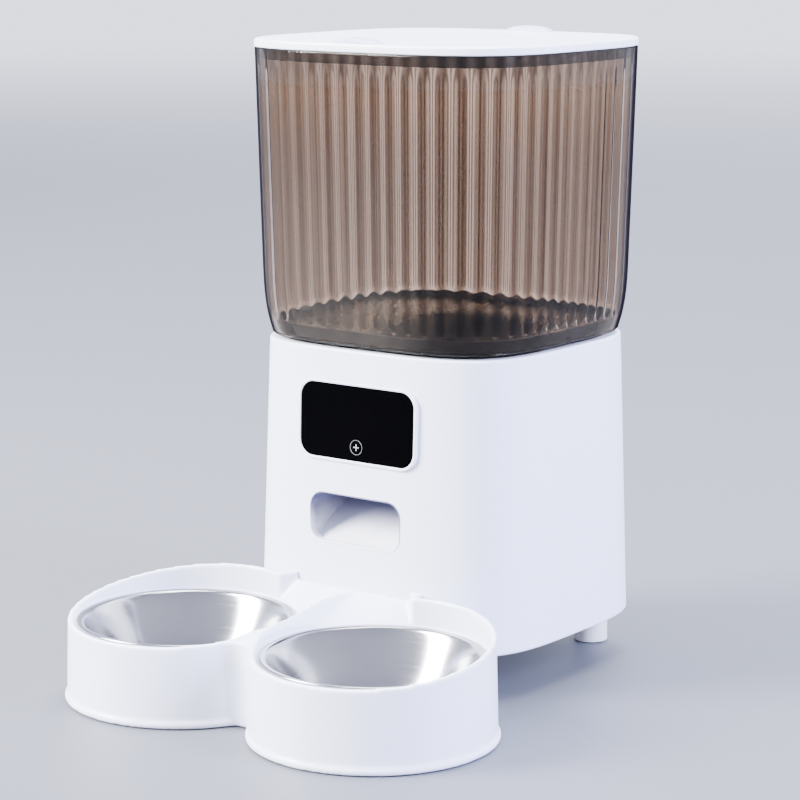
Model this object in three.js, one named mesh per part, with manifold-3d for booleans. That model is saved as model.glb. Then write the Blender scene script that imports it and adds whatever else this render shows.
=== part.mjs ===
// Automatic pet feeder: a white base with a clock window and an outlet slot, a smoky fluted tank with
// a lift-off lid on top, and a twin bowl tray in front. Millimetres, +Z up, the front faces -Y.
// Every shape is placed round the axis of the body; the last lines move the whole feeder so that its
// origin is the middle of its box, on the table.
import * as THREE from "three";
import { mergeVertices } from "three/addons/utils/BufferGeometryUtils.js";
import Module from "manifold-3d";

const wasm = await Module();
wasm.setup();

// ---- Driving dimensions ----------------------------------------------------------------------------

const GAP = 0.3; // between two pieces that touch
const RUNNING_GAP = 0.5; // round a piece that turns or slides
const PAST = 1; // how far a cutter runs past the face that it opens

// The plan of base, tank and lid: |x/half|^n + |y/(half * ratio)|^n = 1
const PLAN_EXPONENT = 3.75;
const PLAN_RATIO = 0.97; // depth over width

const FOOT_HEIGHT = 28;
const FOOT_RADIUS = 10.5;
const FOOT_CHAMFER = 0.8;
const FOOT_PAD_HEIGHT = 2;
const FOOT_PAD_INSET = 0.5; // the pad is this much smaller than the foot, all round
const FOOT_PAD_CHAMFER = 0.4;
const FOOT_SHARE_X = 0.5942; // of the base's half width, out to a foot's axis
const FOOT_SHARE_Y = 0.81; // of its half depth

const BASE_HALF_WIDTH = 99.3; // at the bottom edge
const BASE_TAPER = 5.3; // each side, bottom to top
const BASE_HEIGHT = 176.5;
const BASE_WALL = 2.6;
const BASE_EDGE = 1.4; // rounding of the top and bottom edges
const DECK_DEPTH = 14; // the recess in the top that the tank stands in
const DECK_INSET = 7.6; // from the base's top edge to the recess
const DECK_THICKNESS = 2.5;

const DISPLAY_WIDTH = 83.5;
const DISPLAY_HEIGHT = 45;
const DISPLAY_CORNER = 9.5;
const DISPLAY_DROP = 43.5; // from the base's top to the window's middle
const WINDOW_THICKNESS = 2;
const BEZEL_WIDTH = 3;
const BEZEL_PROUD = 1.6; // how far it stands out of the base
const BEZEL_DEPTH = 5.6;
const BEZEL_LEDGE = 2; // behind the window's edge
const WINDOW_SET_BACK = 0.6; // from the bezel's face to the window's
const MODULE_MARGIN_X = 12; // the display module is this much narrower than the window
const MODULE_MARGIN_Y = 10; // and this much lower
const MODULE_CORNER = 1.5;
const BOARD_THICKNESS = 1.6;
const BOARD_MARGIN = 2; // the board is this much smaller than the window
const BOARD_CORNER = 3;
// The components behind the board: x0, x1, y0, y1 from the window's middle, and height
const BOARD_COMPONENTS = [
  [-12, 4, -8, 6, 1.8],
  [14, 26, -14, -6, 3.5],
  [-32, -22, -12, 10, 3],
];
const SOLDER_DEPTH = 0.5; // how far a component reaches into the board
const FRONT_CUT_INWARDS = 12; // depth of the window's and the slot's openings
const FRONT_CUT_OUTWARDS = 8;

const SLOT_WIDTH = 66;
const SLOT_HEIGHT = 29;
const SLOT_CORNER = 9;
const SLOT_DROP = 103; // from the base's top to the slot's middle
const CHUTE_WALL = 2;
const CHUTE_SET_BACK = 1.2; // from the base's wall to the chute's mouth
const CHUTE_FLOOR_DROP = 3; // from the chute's top to the back of its floor
const CHUTE_FLOOR_EXTRA = 0.8; // its floor is this much thicker than its walls
const CHUTE_LIP_DROP = 0.4; // its floor ends this much lower than the slot's edge
const CHUTE_TO_OUTLET = 1; // from the chamber's outlet to the inside of the chute, and from the gear to it

const ROTOR_RADIUS = 50.5;
const ROTOR_HEIGHT = 40;
const ROTOR_VANES = 6;
const VANE_THICKNESS = 2.4;
const HUB_RADIUS = 10;
const SHAFT_RADIUS = 3;
const CHAMBER_WALL = 2.5;
const CHAMBER_CLEARANCE = 1.5; // round the rotor
const SPOUT_DEPTH = 6; // how far the hopper's spout reaches into the chamber
const CHAMBER_COVER_THICKNESS = 2;
const CHAMBER_FLANGE_WIDTH = 7;
const CHAMBER_FLANGE_THICKNESS = 2.5;
const SPOUT_CLEARANCE = 3; // from the chamber's wall to the hopper's spout, beyond the running gap
const OUTLET_MIDDLE = -90; // degrees, towards the front
const OUTLET_HALF_ANGLE = 38; // degrees, of the sector that drops the food
const OUTLET_INNER_RADIUS = 26;
const OUTLET_INSET = 0.5; // from the rotor's rim to the outlet's
const INLET_MIDDLE = 90; // degrees, towards the back
const INLET_HALF_ANGLE = 105; // degrees, of the sector that lets the food in
const INLET_HUB_MARGIN = 4; // from the rotor's hub to the inlet
const INLET_RIM_MARGIN = 1; // from the hopper's spout to the inlet
const VANE_ROOT = 2; // how far a vane reaches into the hub
const STIRRER_HEIGHT = 9;
const STIRRER_REACH = 28;
const STIRRER_HUB_RADIUS = 7;
const STIRRER_HUB_TOP_RADIUS = 5.5;
const STIRRER_CAP = 1.5; // rubber over the shaft's end
const STIRRER_SHAFT_GAP = 0.5; // between them
const FINGER_COUNT = 4;
const FINGER_HALF_WIDTH = 1.6;
const FINGER_RISE = 1; // above the hub's foot
const FINGER_HEIGHT = 4;

const GEAR_MODULE = 1;
const DRIVEN_TEETH = 32;
const PINION_TEETH = 12;
const GEAR_WIDTH = 7;
const TOOTH_BACKLASH = 0.28;
const TOOTH_ROOT = 1.2; // in modules, from the pitch circle down to a tooth's foot
const TOOTH_TIP = 0.85; // and up to its tip
const TOOTH_FOOT_WIDENING = 0.42; // in modules, each side
const TOOTH_TIP_NARROWING = 0.34;
const GEAR_DROP = 4; // from the chamber's underside to the gears
const GEAR_RISE = 3.5; // from the gear plate to the gears
const PINION_SHAFT_RADIUS = 2.5;
const PINION_SHAFT_RISE = 1.5; // above the pinion
const PINION_SHAFT_ENGAGEMENT = 6; // in the gearbox
const PINION_HOLE_MARGIN = 1.5; // round the pinion's shaft
const GEAR_PLATE_THICKNESS = 2;
const GEAR_PLATE_LENGTH = 60;
const GEAR_PLATE_MARGIN = 7; // outside the posts, each side
const GEAR_PLATE_CORNER = 5;
const GEAR_PLATE_Y = 15;
const POST_RADIUS = 3.6;
const POST_FRONT_Y = -8;
const POST_REAR_Y = 34;
const POST_LEAST_X = 28;
const POST_TO_GEAR = 12; // from the driven gear's pitch circle out to a post's axis
const POST_ROOT = 0.5; // how far a post reaches into the chamber's floor
const POST_CAP = 2; // plastic over the end of its screw hole
const GEARBOX_HEIGHT = 19;
const GEARBOX_WIDTH = 38;
const GEARBOX_LENGTH = 50;
const GEARBOX_CORNER = 5;
const GEARBOX_STEP = 8; // from the pinion to the gearbox's middle, and from there to the motor's axis
const THRUST_BORE_DEPTH = 3; // for the foot of the rotor's shaft
const MOTOR_RADIUS = 14;
const MOTOR_LENGTH = 26;
const MOTOR_CHAMFER = 1.5;
const SWITCH_WIDTH = 6;
const SWITCH_FRONT_Y = 2;
const SWITCH_BACK_Y = 16;
const SWITCH_DROP = 1; // from the gears' top
const SWITCH_CLEARANCE = 1.5; // from the driven gear's teeth to the lever
const LEVER_THICKNESS = 1.5;
const LEVER_OVERLAP = 0.5; // how far the lever reaches into the switch
const LEVER_FRONT_Y = 4;
const LEVER_BACK_Y = 7;
const LEVER_RISE = 2; // above the gears' foot
const LEVER_HEIGHT = 2;

const BATTERY_WIDTH = 105; // three large cells side by side
const BATTERY_LENGTH = 66;
const BATTERY_HEIGHT = 34;
const BATTERY_WALL = 2;
const BATTERY_Y = 5;
const BATTERY_CORNER = 3;
const CONTACT_THICKNESS = 0.6;
const CONTACT_MARGIN_X = 4; // from the side of the box to the end of a strip
const CONTACT_MARGIN_Z = 5; // from its floor and its roof
const STUD_RADIUS = 6;
const STUD_HALF_LENGTH = 1.2;
const STUD_REACH = 0.9; // from a strip's face to the stud's middle
const THUMB_WIDTH = 26; // the recess for a thumb in the door
const THUMB_LENGTH = 12;
const THUMB_CORNER = 3;
const THUMB_INSET = 8;
const THUMB_DEPTH = 0.7;
const DOOR_THICKNESS = 1.7;
const DOOR_LAP = 3.5; // how far the door covers the cover plate round the opening
const COVER_THICKNESS = 3;
const COVER_RISE = 0.4; // above the base's bottom edge
const COVER_FREE = 0.1; // extra play round the cover

const SOCKET_RISE = 18; // from the base's bottom edge to the socket's axis
const SOCKET_NOSE_RADIUS = 5;
const SOCKET_BORE_RADIUS = 3.3;
const SOCKET_LENGTH = 11;
const SOCKET_BORE_DEPTH = 9;
const SOCKET_SET_BACK = 0.4; // from the base's back
const SOCKET_CHAMFER = 0.4;
const SOCKET_PIN_RADIUS = 1.1;
const SOCKET_PIN_SET_BACK = 1.6;
const SOCKET_PIN_POINT = 0.4;
const SOCKET_BODY_HALF = 6;
const SOCKET_BODY_LENGTH = 10;
const SOCKET_BODY_GAP = 1; // from the base's wall
const SOCKET_BODY_LAP = 0.5; // how far the body closes in round the barrel
const SOCKET_CUT_HALF = 20; // half the length of the hole's cutter

const TANK_HEIGHT = 175.5;
const TANK_WALL = 3.2;
const TANK_SEAM = 1.8; // the dark line between base and tank
const TANK_INSET = 0.3; // the tank's side stands this far inside the base's top edge, drawn straight down
const TANK_FLARE = 4.4; // each side, bottom to top
const TANK_TUCK = 4.3; // how far the foot of the wall curves in
const TANK_TUCK_HEIGHT = 44;
const TANK_TUCK_POWER = 3; // how late the curve sets in
const TANK_BULGE = 2.8; // its foot would stand this far out of the base's line without the tuck
const TANK_EDGE = 1.2; // chamfer of the foot
const TANK_LEVELS = [9, 22]; // heights of the rings that draw the curve
const TANK_FLOOR = 2;
const TANK_HOLE_INSET = 3.2; // the wall of the spigot under the tank
const SPIGOT_ROOT = 0.5; // how far the spigot reaches into the tank's floor
const FLUTE_COUNT = 60;
const FLUTE_DEPTH = 2.4;
const FLUTE_FOOT = 3; // length of the flutes' lower run-out
const FLUTE_HEAD = 4; // and of the upper one
const FUNNEL_THICKNESS = 2;
const FUNNEL_NECK = 1.5; // height of the funnel's neck under its rim
const FUNNEL_RISE = 0.5; // from the deck to the head of the spout, beyond the gap

const LID_THICKNESS = 3.4;
const LID_OVERHANG = 0.3;
const LID_EDGE = 1.2; // chamfer of its top edge
const LID_SKIRT_DEPTH = 9;
const LID_SKIRT_WALL = 2;
const SEAL_WIDTH = 2;
const SEAL_HEIGHT = 4;
const SEAL_RISE = 1; // above the skirt's foot
const GRIP_HALF_WIDTH = 19;
const GRIP_HALF_DEPTH = 10;
const GRIP_RISE = 3.6;
const GRIP_SINK = 1; // its widest level is this deep in the lid
const GRIP_INSET = 9; // from the lid's edge to its middle
const GRIP_EDGE_GAP = 0.4; // from the lid's edge to its trimmed side
const GRIP_TRIM_HEIGHT = 10;
const NOTCH_HALF_DEPTH = 7; // the finger notch under it
const NOTCH_HALF_HEIGHT = 2.6;
const NOTCH_INSET = 1; // it's this much narrower than the grip, and stands this far out
const NOTCH_SINK = 0.4;
const DESICCANT_RADIUS = 30;
const DESICCANT_DEPTH = 6.4;
const DESICCANT_WALL = 1.6;
const DESICCANT_CAP = 1.8;
const SLIT_COUNT = 5;
const SLIT_PITCH = 8;
const SLIT_HALF_WIDTH = 1.5;
const SLIT_HALF_LENGTH = 20; // of the middle slit
const SLIT_SHORTENING = 3; // of each next one

const BOWL_RIM_RADIUS = 65;
const BOWL_DEPTH = 36;
const BOWL_WALL = 1;
const BOWL_LIP = 4.5; // width of the rolled rim
const BOWL_LIP_HEIGHT = 1.4;
const BOWL_LIP_CHAMFER = 0.8;
const BOWL_LIP_INNER = 0.4; // from the body's outside to the lip's inner edge
const BOWL_FLOOR_SHARE = 0.66; // of its body's radius at the rim
const BOWL_CORNER_SHARE = 0.8; // of the same, at the top of the rounded corner
const BOWL_CORNER_HEIGHT = 6;
const BOWL_CORNER_STEP = 0.5; // how much higher the corner is inside
const BOWL_FLOOR_TUCK = 0.3; // of the wall, by which the floor is narrower inside
const CUP_WALL = 2.5;
const CUP_RIM_GAP = 2; // between the bowl's rim and the cup
const CUP_SPREAD = 0.3; // from the middle plane to each cup's side
const CUP_TO_BASE = 0.2;
const CUP_DRAFT = 1.5; // the cup's foot is this much wider than its rim
const CUP_FLANGE = 1.7;
const CUP_FLANGE_HEIGHT = 4.5;
const CUP_FLANGE_EDGE = 0.6; // of its height, up to its outer edge
const CUP_FLANGE_TOP = 0.3; // of its width, left at its top
const LEDGE_OVERLAP = 1; // how far the bowl's lip reaches in over the ledge
const LEDGE_HEIGHT = 46.2; // that the bowl's rim rests on
const RIM_FRONT = 47.6; // height of the cup's rim at its front
const RIM_RISE = 17.5; // how much higher it is at the back
const RIM_POWER = 1.35; // how late the rise sets in
const WELL_FLOOR = 3;
const CREST_HEIGHT = 60.5; // of the food splitter at the base
const RAMP_FOOT = 47.8; // height of its ramps where they meet the bowls
const SPLITTER_HALF_WIDTH = 42.5;
const SPLITTER_FLARE = 7.5; // each side, from the base to the bowls
const SPLITTER_REACH = 30; // how far its ridge runs in front of the cups' axes
const SPLITTER_TIP = 3; // half width of its front end
const RIDGE_SLOPE = 1.17;
const CREST_SLOPE = 0.072; // how the ridge falls from the base to the front
const CREST_BEND_START = 88; // from the tray's back
const CREST_BEND_LENGTH = 20;
const CREST_BEND_DROP = 5;
const RIDGE_FLAT_HALF = 12; // half width of the ridge's flat front end
const RIDGE_FLAT_LENGTH = 35;
const RIDGE_FLAT_POWER = 1.5;
const BRIDGE_MARGIN = 8; // the bridge between cups and base is this much wider than the splitter, each side
const WEB_LENGTH = 32.5; // from the cups' axes to the front of the web between them
const TRAY_TO_BASE = 0.5;
const TRAY_SKIN = 2.2; // of its hollow underside
const HOLLOW_MARGIN = 0.6; // between a hollow and the well or the ledge
const HOLLOW_FRONT = 12; // from the cups' axes to the hollow under the ramps
const HOLLOW_SLOPE = 26; // length of the hollow's sloping roof
const TRAY_LIFT = 0.3; // the tray stands this much off the table, on its pads
const TRAY_STOCK = 4; // above the cups' highest rims, trimmed away
const SPLITTER_STOCK = 6; // below the foot of the ramps, down to the splitter's underside
const TRAY_OVER = 4; // how far the pieces it's built from run on behind and under one another
const TRAY_PAD_SPREAD = 48; // from the cup's axis
const TRAY_PAD_RADIUS = 6;
const TRAY_PAD_HEIGHT = 1.2;

const SCREW_HEAD_RADIUS = 3;
const SCREW_HEAD_HEIGHT = 1.5;
const SCREW_SHANK_RADIUS = 1.3;
const SCREW_LENGTH = 10;
const SCREW_POINT = 1;
const SCREW_INSET = 6.2; // from the base's wall to a cover screw's axis
const SCREW_Y = 24;
const PLATE_SCREW_SHARE = 0.8; // a gear plate screw's length over a cover screw's
const BOSS_RADIUS = 6.6;
const BOSS_CAP = 2; // plastic over the screw's end

// How finely curves are cut
const PLAN_POINTS = 44; // round the plan
const PLAN_STEPS = 1440; // to find their places
const CHAMBER_SIDES = 36;
const CUP_SIDES = 40;
const DESICCANT_SIDES = 32;
const FILLET_SIDES = 32;
const HUB_SIDES = 24;
const BARREL_SIDES = 20; // of the motor and the socket
const STIRRER_SIDES = 18;
const SHAFT_SIDES = 16; // of shafts, feet, bosses and pads
const SMALL_SHAFT_SIDES = 14;
const POST_SIDES = 12;
const SCREW_SIDES = 10;
const COVER_SCREW_SIDES = 8;
const LENS_SIDES = 16;
const LENS_RINGS = 8;
const CORNER_STEPS = 4; // of a plate's round corner
const WINDOW_CORNER_STEPS = 8;
const PLATE_CORNER_STEPS = 3;
const BOARD_CORNER_STEPS = 2;
const INLET_STEPS = 14;
const OUTLET_STEPS = 10;
const RIM_STEPS = 9; // along the cups' rims
const SPLITTER_STEPS = 10; // along the splitter
const RAMP_STEPS = 5; // across one of its ramps
const RIDGE_STEPS = 4; // across one side of its ridge
const MERGE_DISTANCE = 1e-4;

// The four corners of the base and of the tray
const CORNERS = {
  front_left: [-1, -1],
  front_right: [1, -1],
  rear_left: [-1, 1],
  rear_right: [1, 1],
};

// ---- Heights and places worked out from them -------------------------------------------------------

const baseBottom = FOOT_HEIGHT;
const baseTop = baseBottom + BASE_HEIGHT;
const baseTopHalf = BASE_HALF_WIDTH - BASE_TAPER;
const deckFloor = baseTop - DECK_DEPTH;
const deckHalf = baseTopHalf - DECK_INSET;
const draft = Math.atan((BASE_TAPER * PLAN_RATIO) / BASE_HEIGHT);

const displayZ = baseTop - DISPLAY_DROP;
const windowFront = BEZEL_PROUD - WINDOW_SET_BACK; // out of the base's front
const moduleFront = windowFront - WINDOW_THICKNESS - GAP;
const slotZ = baseTop - SLOT_DROP;
const slotBottom = slotZ - SLOT_HEIGHT / 2;
const slotTop = slotZ + SLOT_HEIGHT / 2;

const chamberRadius = ROTOR_RADIUS + CHAMBER_CLEARANCE;
const chamberTop = deckFloor - DECK_THICKNESS - GAP;
const chamberCoverTop = chamberTop - SPOUT_DEPTH - RUNNING_GAP;
const rotorTop = chamberCoverTop - CHAMBER_COVER_THICKNESS - 2 * RUNNING_GAP;
const rotorBottom = rotorTop - ROTOR_HEIGHT;
const chamberFloorTop = rotorBottom - RUNNING_GAP;
const chamberBottom = chamberFloorTop - CHAMBER_WALL;

const drivenRadius = (DRIVEN_TEETH * GEAR_MODULE) / 2;
const pinionRadius = (PINION_TEETH * GEAR_MODULE) / 2;
const pinionY = drivenRadius + pinionRadius;
const gearTop = chamberBottom - GEAR_DROP;
const gearBottom = gearTop - GEAR_WIDTH;
const gearPlateTop = gearBottom - GEAR_RISE;
const gearPlateBottom = gearPlateTop - GEAR_PLATE_THICKNESS;
const gearboxTop = gearPlateBottom - GAP;
const gearboxBottom = gearboxTop - GEARBOX_HEIGHT;
const gearboxY = pinionY + GEARBOX_STEP;
const motorY = gearboxY + GEARBOX_STEP;
const postX = Math.max(POST_LEAST_X, drivenRadius + POST_TO_GEAR);

const chuteBackY = -(drivenRadius + GEAR_MODULE + CHUTE_TO_OUTLET); // outer face of the chute's back wall
const outletOuterRadius = ROTOR_RADIUS - OUTLET_INSET;

const coverBottom = baseBottom + COVER_RISE;
const coverTop = coverBottom + COVER_THICKNESS;
const batteryBottom = coverTop + GAP;
const batteryTop = batteryBottom + BATTERY_HEIGHT + BATTERY_WALL;
const footX = BASE_HALF_WIDTH * FOOT_SHARE_X;
const footY = BASE_HALF_WIDTH * PLAN_RATIO * FOOT_SHARE_Y;
const screwX = BASE_HALF_WIDTH - BASE_WALL - SCREW_INSET;
const socketZ = baseBottom + SOCKET_RISE;

const tankBottom = baseTop + TANK_SEAM;
const tankTop = tankBottom + TANK_HEIGHT;
const tankFootHalf = baseTopHalf - TANK_INSET; // before its foot tucks in
const tankLowHalf = tankFootHalf + TANK_BULGE;
const tankTopHalf = tankLowHalf + TANK_FLARE;
const tankFloorTop = tankBottom + TANK_FLOOR;
const funnelRim = tankFloorTop + GAP;
const spoutRadius = chamberRadius - RUNNING_GAP - SPOUT_CLEARANCE;

const lidBottom = tankTop + GAP;
const lidTop = lidBottom + LID_THICKNESS;
const lidHalf = tankTopHalf + LID_OVERHANG;
const lidSkirtHalf = tankTopHalf - TANK_WALL - SEAL_WIDTH - 2 * GAP;

const cupRadius = BOWL_RIM_RADIUS + CUP_RIM_GAP + CUP_WALL;
const wellRadius = BOWL_RIM_RADIUS + CUP_RIM_GAP;
const ledgeRadius = BOWL_RIM_RADIUS - BOWL_LIP + LEDGE_OVERLAP;
const cupFootRadius = cupRadius + CUP_DRAFT;
const cupX = cupRadius + CUP_SPREAD;
const baseFrontY = -BASE_HALF_WIDTH * PLAN_RATIO;
const cupY = baseFrontY - cupFootRadius - CUP_TO_BASE;
const trayFrontY = cupY - cupFootRadius - CUP_FLANGE;
const trayBackY = baseFrontAt(CREST_HEIGHT) - TRAY_TO_BASE;
const trayStockTop = RIM_FRONT + RIM_RISE + TRAY_STOCK; // before the rims are trimmed

// ---- Outlines and solids ---------------------------------------------------------------------------

// Points on the plan of half width 1, evenly spaced along it, anticlockwise from +X.
function unitPlan(count) {
  const fine = [];
  for (let i = 0; i <= PLAN_STEPS; i++) {
    const angle = (i / PLAN_STEPS) * 2 * Math.PI;
    const power = 2 / PLAN_EXPONENT;
    const x = Math.sign(Math.cos(angle)) * Math.abs(Math.cos(angle)) ** power;
    const y = Math.sign(Math.sin(angle)) * Math.abs(Math.sin(angle)) ** power * PLAN_RATIO;
    fine.push(new THREE.Vector2(x, y));
  }
  const run = [0];
  for (let i = 1; i <= PLAN_STEPS; i++) {
    run.push(run[i - 1] + fine[i].distanceTo(fine[i - 1]));
  }
  const points = [];
  let j = 0;
  for (let k = 0; k < count; k++) {
    const target = (k / count) * run[PLAN_STEPS];
    while (run[j + 1] < target) j++;
    const share = (target - run[j]) / (run[j + 1] - run[j]);
    points.push(fine[j].clone().lerp(fine[j + 1], share));
  }
  return points;
}

const PLAN = unitPlan(PLAN_POINTS);
const FLUTED_PLAN = unitPlan(2 * FLUTE_COUNT);

// A ring of the plan at one height.
function planRing(half, z, plan = PLAN) {
  return plan.map((p) => new THREE.Vector3(p.x * half, p.y * half, z));
}

// A ring whose every second point stands in by the depth of the flutes.
function flutedRing(half, z, depth) {
  return FLUTED_PLAN.map((p, i) => {
    const reach = i % 2 ? half - depth : half;
    return new THREE.Vector3(p.x * reach, p.y * reach, z);
  });
}

// A circle with as many points as the plan, each in the direction of its partner.
function roundRing(radius, z) {
  return PLAN.map((p) => new THREE.Vector3(p.x, p.y, 0).setLength(radius).setZ(z));
}

// Skin through rings of equally many points, from bottom to top outside; capped at both ends, or, for
// a ring-shaped body, joined from the last ring to the first.
function loft(rings, isLoop = false) {
  const count = rings[0].length;
  const positions = rings.flat().flatMap((p) => [p.x, p.y, p.z]);
  const faces = [];
  const bands = isLoop ? rings.length : rings.length - 1;
  for (let r = 0; r < bands; r++) {
    const low = r * count;
    const high = ((r + 1) % rings.length) * count;
    for (let i = 0; i < count; i++) {
      const j = (i + 1) % count;
      faces.push(low + i, low + j, high + j, low + i, high + j, high + i);
    }
  }
  if (!isLoop) {
    const top = (rings.length - 1) * count;
    const bottomMiddle = positions.length / 3;
    positions.push(0, 0, rings[0][0].z, 0, 0, rings[rings.length - 1][0].z);
    for (let i = 0; i < count; i++) {
      const j = (i + 1) % count;
      faces.push(bottomMiddle, j, i, bottomMiddle + 1, top + i, top + j);
    }
  }
  const geometry = new THREE.BufferGeometry();
  geometry.setAttribute("position", new THREE.Float32BufferAttribute(positions, 3));
  geometry.setIndex(faces);
  return geometry;
}

function asSolid(geometry) {
  const bare = geometry.clone();
  bare.deleteAttribute("normal");
  bare.deleteAttribute("uv");
  const merged = mergeVertices(bare, MERGE_DISTANCE);
  const vertProperties = merged.attributes.position.array;
  const triVerts = new Uint32Array(merged.index.array);
  return new wasm.Manifold(new wasm.Mesh({ numProp: 3, vertProperties, triVerts }));
}

// Joins the pieces in add to the body, cuts the pieces in cut out of it, then keeps what the pieces in
// keep cover.
function shape(body, { add = [], cut = [], keep = [] }) {
  let result = asSolid(body);
  for (const piece of add) result = result.add(asSolid(piece));
  for (const piece of cut) result = result.subtract(asSolid(piece));
  for (const piece of keep) result = result.intersect(asSolid(piece));
  const mesh = result.getMesh();
  const geometry = new THREE.BufferGeometry();
  geometry.setAttribute("position", new THREE.Float32BufferAttribute(mesh.vertProperties, 3));
  geometry.setIndex(Array.from(mesh.triVerts));
  return geometry;
}

function block(x0, x1, y0, y1, z0, z1) {
  const geometry = new THREE.BoxGeometry(x1 - x0, y1 - y0, z1 - z0);
  return geometry.translate((x0 + x1) / 2, (y0 + y1) / 2, (z0 + z1) / 2);
}

// An upright cylinder or, with two radii, cone.
function rod(radius, z0, z1, x = 0, y = 0, sides = HUB_SIDES, topRadius = radius) {
  const geometry = new THREE.CylinderGeometry(topRadius, radius, z1 - z0, sides);
  return geometry.rotateX(Math.PI / 2).translate(x, y, (z0 + z1) / 2);
}

// A turned body from its profile of [radius, z], from the foot of the axis to its head.
function turned(profile, sides, x = 0, y = 0) {
  const points = profile.map(([radius, z]) => new THREE.Vector2(radius, z));
  const geometry = new THREE.LatheGeometry(points, sides);
  return geometry.rotateX(Math.PI / 2).translate(x, y, 0);
}

function roundedRectangle(width, height, radius, middleX = 0, middleY = 0) {
  const left = middleX - width / 2;
  const low = middleY - height / 2;
  const outline = new THREE.Shape();
  outline.absarc(left + width - radius, low + radius, radius, -Math.PI / 2, 0);
  outline.absarc(left + width - radius, low + height - radius, radius, 0, Math.PI / 2);
  outline.absarc(left + radius, low + height - radius, radius, Math.PI / 2, Math.PI);
  outline.absarc(left + radius, low + radius, radius, Math.PI, 1.5 * Math.PI);
  outline.closePath();
  return outline;
}

function polygon(points) {
  return new THREE.Shape(points.map(([x, y]) => new THREE.Vector2(x, y)));
}

// An upright plate of an XY outline.
function plate(outline, z0, z1, curveSegments = CORNER_STEPS) {
  const options = { depth: z1 - z0, bevelEnabled: false, curveSegments };
  return new THREE.ExtrudeGeometry(outline, options).translate(0, 0, z0);
}

// A prism of a YZ outline, from -halfWidth to +halfWidth along X.
function prism(points, halfWidth) {
  const options = { depth: 2 * halfWidth, bevelEnabled: false };
  const geometry = new THREE.ExtrudeGeometry(polygon(points), options);
  const turn = new THREE.Matrix4().set(0, 0, 1, 0, 1, 0, 0, 0, 0, 1, 0, 0, 0, 0, 0, 1);
  return geometry.applyMatrix4(turn).translate(-halfWidth, 0, 0);
}

function finish(color, roughness, metalness = 0, opacity = 1) {
  const transparent = opacity < 1;
  return new THREE.MeshStandardMaterial({ color, roughness, metalness, opacity, transparent });
}

const whitePlastic = () => finish(0xf3f3f8, 0.35);
const blackPlastic = () => finish(0x17171b, 0.4);
const blackRubber = () => finish(0x1d1d1f, 0.85);
const palePlastic = () => finish(0xdedde0, 0.5);
const steel = () => finish(0xc9ccd0, 0.25, 1);

function part(name, geometry, material) {
  geometry.computeVertexNormals();
  const mesh = new THREE.Mesh(geometry, material);
  mesh.name = name;
  return mesh;
}

// ---- The base shell --------------------------------------------------------------------------------

function baseHalfAt(z) {
  return BASE_HALF_WIDTH - (BASE_TAPER * (z - baseBottom)) / BASE_HEIGHT;
}

// The base's front surface on the middle plane.
function baseFrontAt(z) {
  return -baseHalfAt(z) * PLAN_RATIO;
}

// The outside of the base, grown by a clearance and without its edge roundings if that isn't 0.
function baseOutside(clearance = 0) {
  const low = baseHalfAt(baseBottom) + clearance;
  const high = baseHalfAt(baseTop) + clearance;
  if (clearance) return loft([planRing(low, -PAST), planRing(low, baseBottom), planRing(high, baseTop)]);
  return loft([
    planRing(low - BASE_EDGE, baseBottom),
    planRing(low, baseBottom + BASE_EDGE),
    planRing(high, baseTop - BASE_EDGE),
    planRing(high - BASE_EDGE, baseTop),
  ]);
}

// A geometry drawn in XY with its depth along +Z, stood up on the base's front: X stays, Y goes up the
// leaning front and the depth comes out of it. z is where its origin meets the front.
function onFront(geometry, z) {
  return geometry.rotateX(Math.PI / 2 - draft).translate(0, baseFrontAt(z), z);
}

function baseShell() {
  const cavityTop = deckFloor - DECK_THICKNESS;
  const cavity = loft([
    planRing(baseHalfAt(baseBottom) - BASE_WALL, baseBottom - PAST),
    planRing(baseHalfAt(cavityTop) - BASE_WALL, cavityTop),
  ]);
  const recess = loft([planRing(deckHalf, deckFloor), planRing(deckHalf, baseTop + PAST)]);
  const throat = rod(chamberRadius, cavityTop - PAST, deckFloor + PAST, 0, 0, CHAMBER_SIDES);
  const displayHole = onFront(
    plate(
      roundedRectangle(
        DISPLAY_WIDTH + 2 * (BEZEL_WIDTH + GAP),
        DISPLAY_HEIGHT + 2 * (BEZEL_WIDTH + GAP),
        DISPLAY_CORNER + BEZEL_WIDTH + GAP,
      ),
      -FRONT_CUT_INWARDS,
      FRONT_CUT_OUTWARDS,
    ),
    displayZ,
  );
  const slotOutline = roundedRectangle(SLOT_WIDTH, SLOT_HEIGHT, SLOT_CORNER);
  const slotHole = onFront(plate(slotOutline, -FRONT_CUT_INWARDS, FRONT_CUT_OUTWARDS), slotZ);
  const socketHole = rod(SOCKET_NOSE_RADIUS + GAP, -SOCKET_CUT_HALF, SOCKET_CUT_HALF, 0, 0, BARREL_SIDES)
    .rotateX(Math.PI / 2)
    .translate(0, -baseFrontAt(socketZ), socketZ);
  const bosses = [];
  const bores = [];
  for (const x of [-screwX, screwX]) {
    for (const y of [-SCREW_Y, SCREW_Y]) {
      const boreTop = coverTop + GAP + SCREW_LENGTH;
      bosses.push(rod(BOSS_RADIUS, coverTop + GAP, boreTop + BOSS_CAP, x, y, SHAFT_SIDES));
      bores.push(rod(SCREW_SHANK_RADIUS + GAP, coverBottom, boreTop, x, y, SCREW_SIDES));
    }
  }
  const geometry = shape(baseOutside(), { cut: [cavity, recess, throat, displayHole, slotHole, socketHole] });
  const withBosses = shape(geometry, { add: bosses, cut: bores, keep: [baseOutside()] });
  return part("base_shell", withBosses, whitePlastic());
}

// ---- Underside: cover plate, battery bay, feet and screws ------------------------------------------

function batteryOutline(margin) {
  const width = BATTERY_WIDTH + 2 * margin;
  const length = BATTERY_LENGTH + 2 * margin;
  return roundedRectangle(width, length, BATTERY_CORNER, 0, BATTERY_Y);
}

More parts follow.
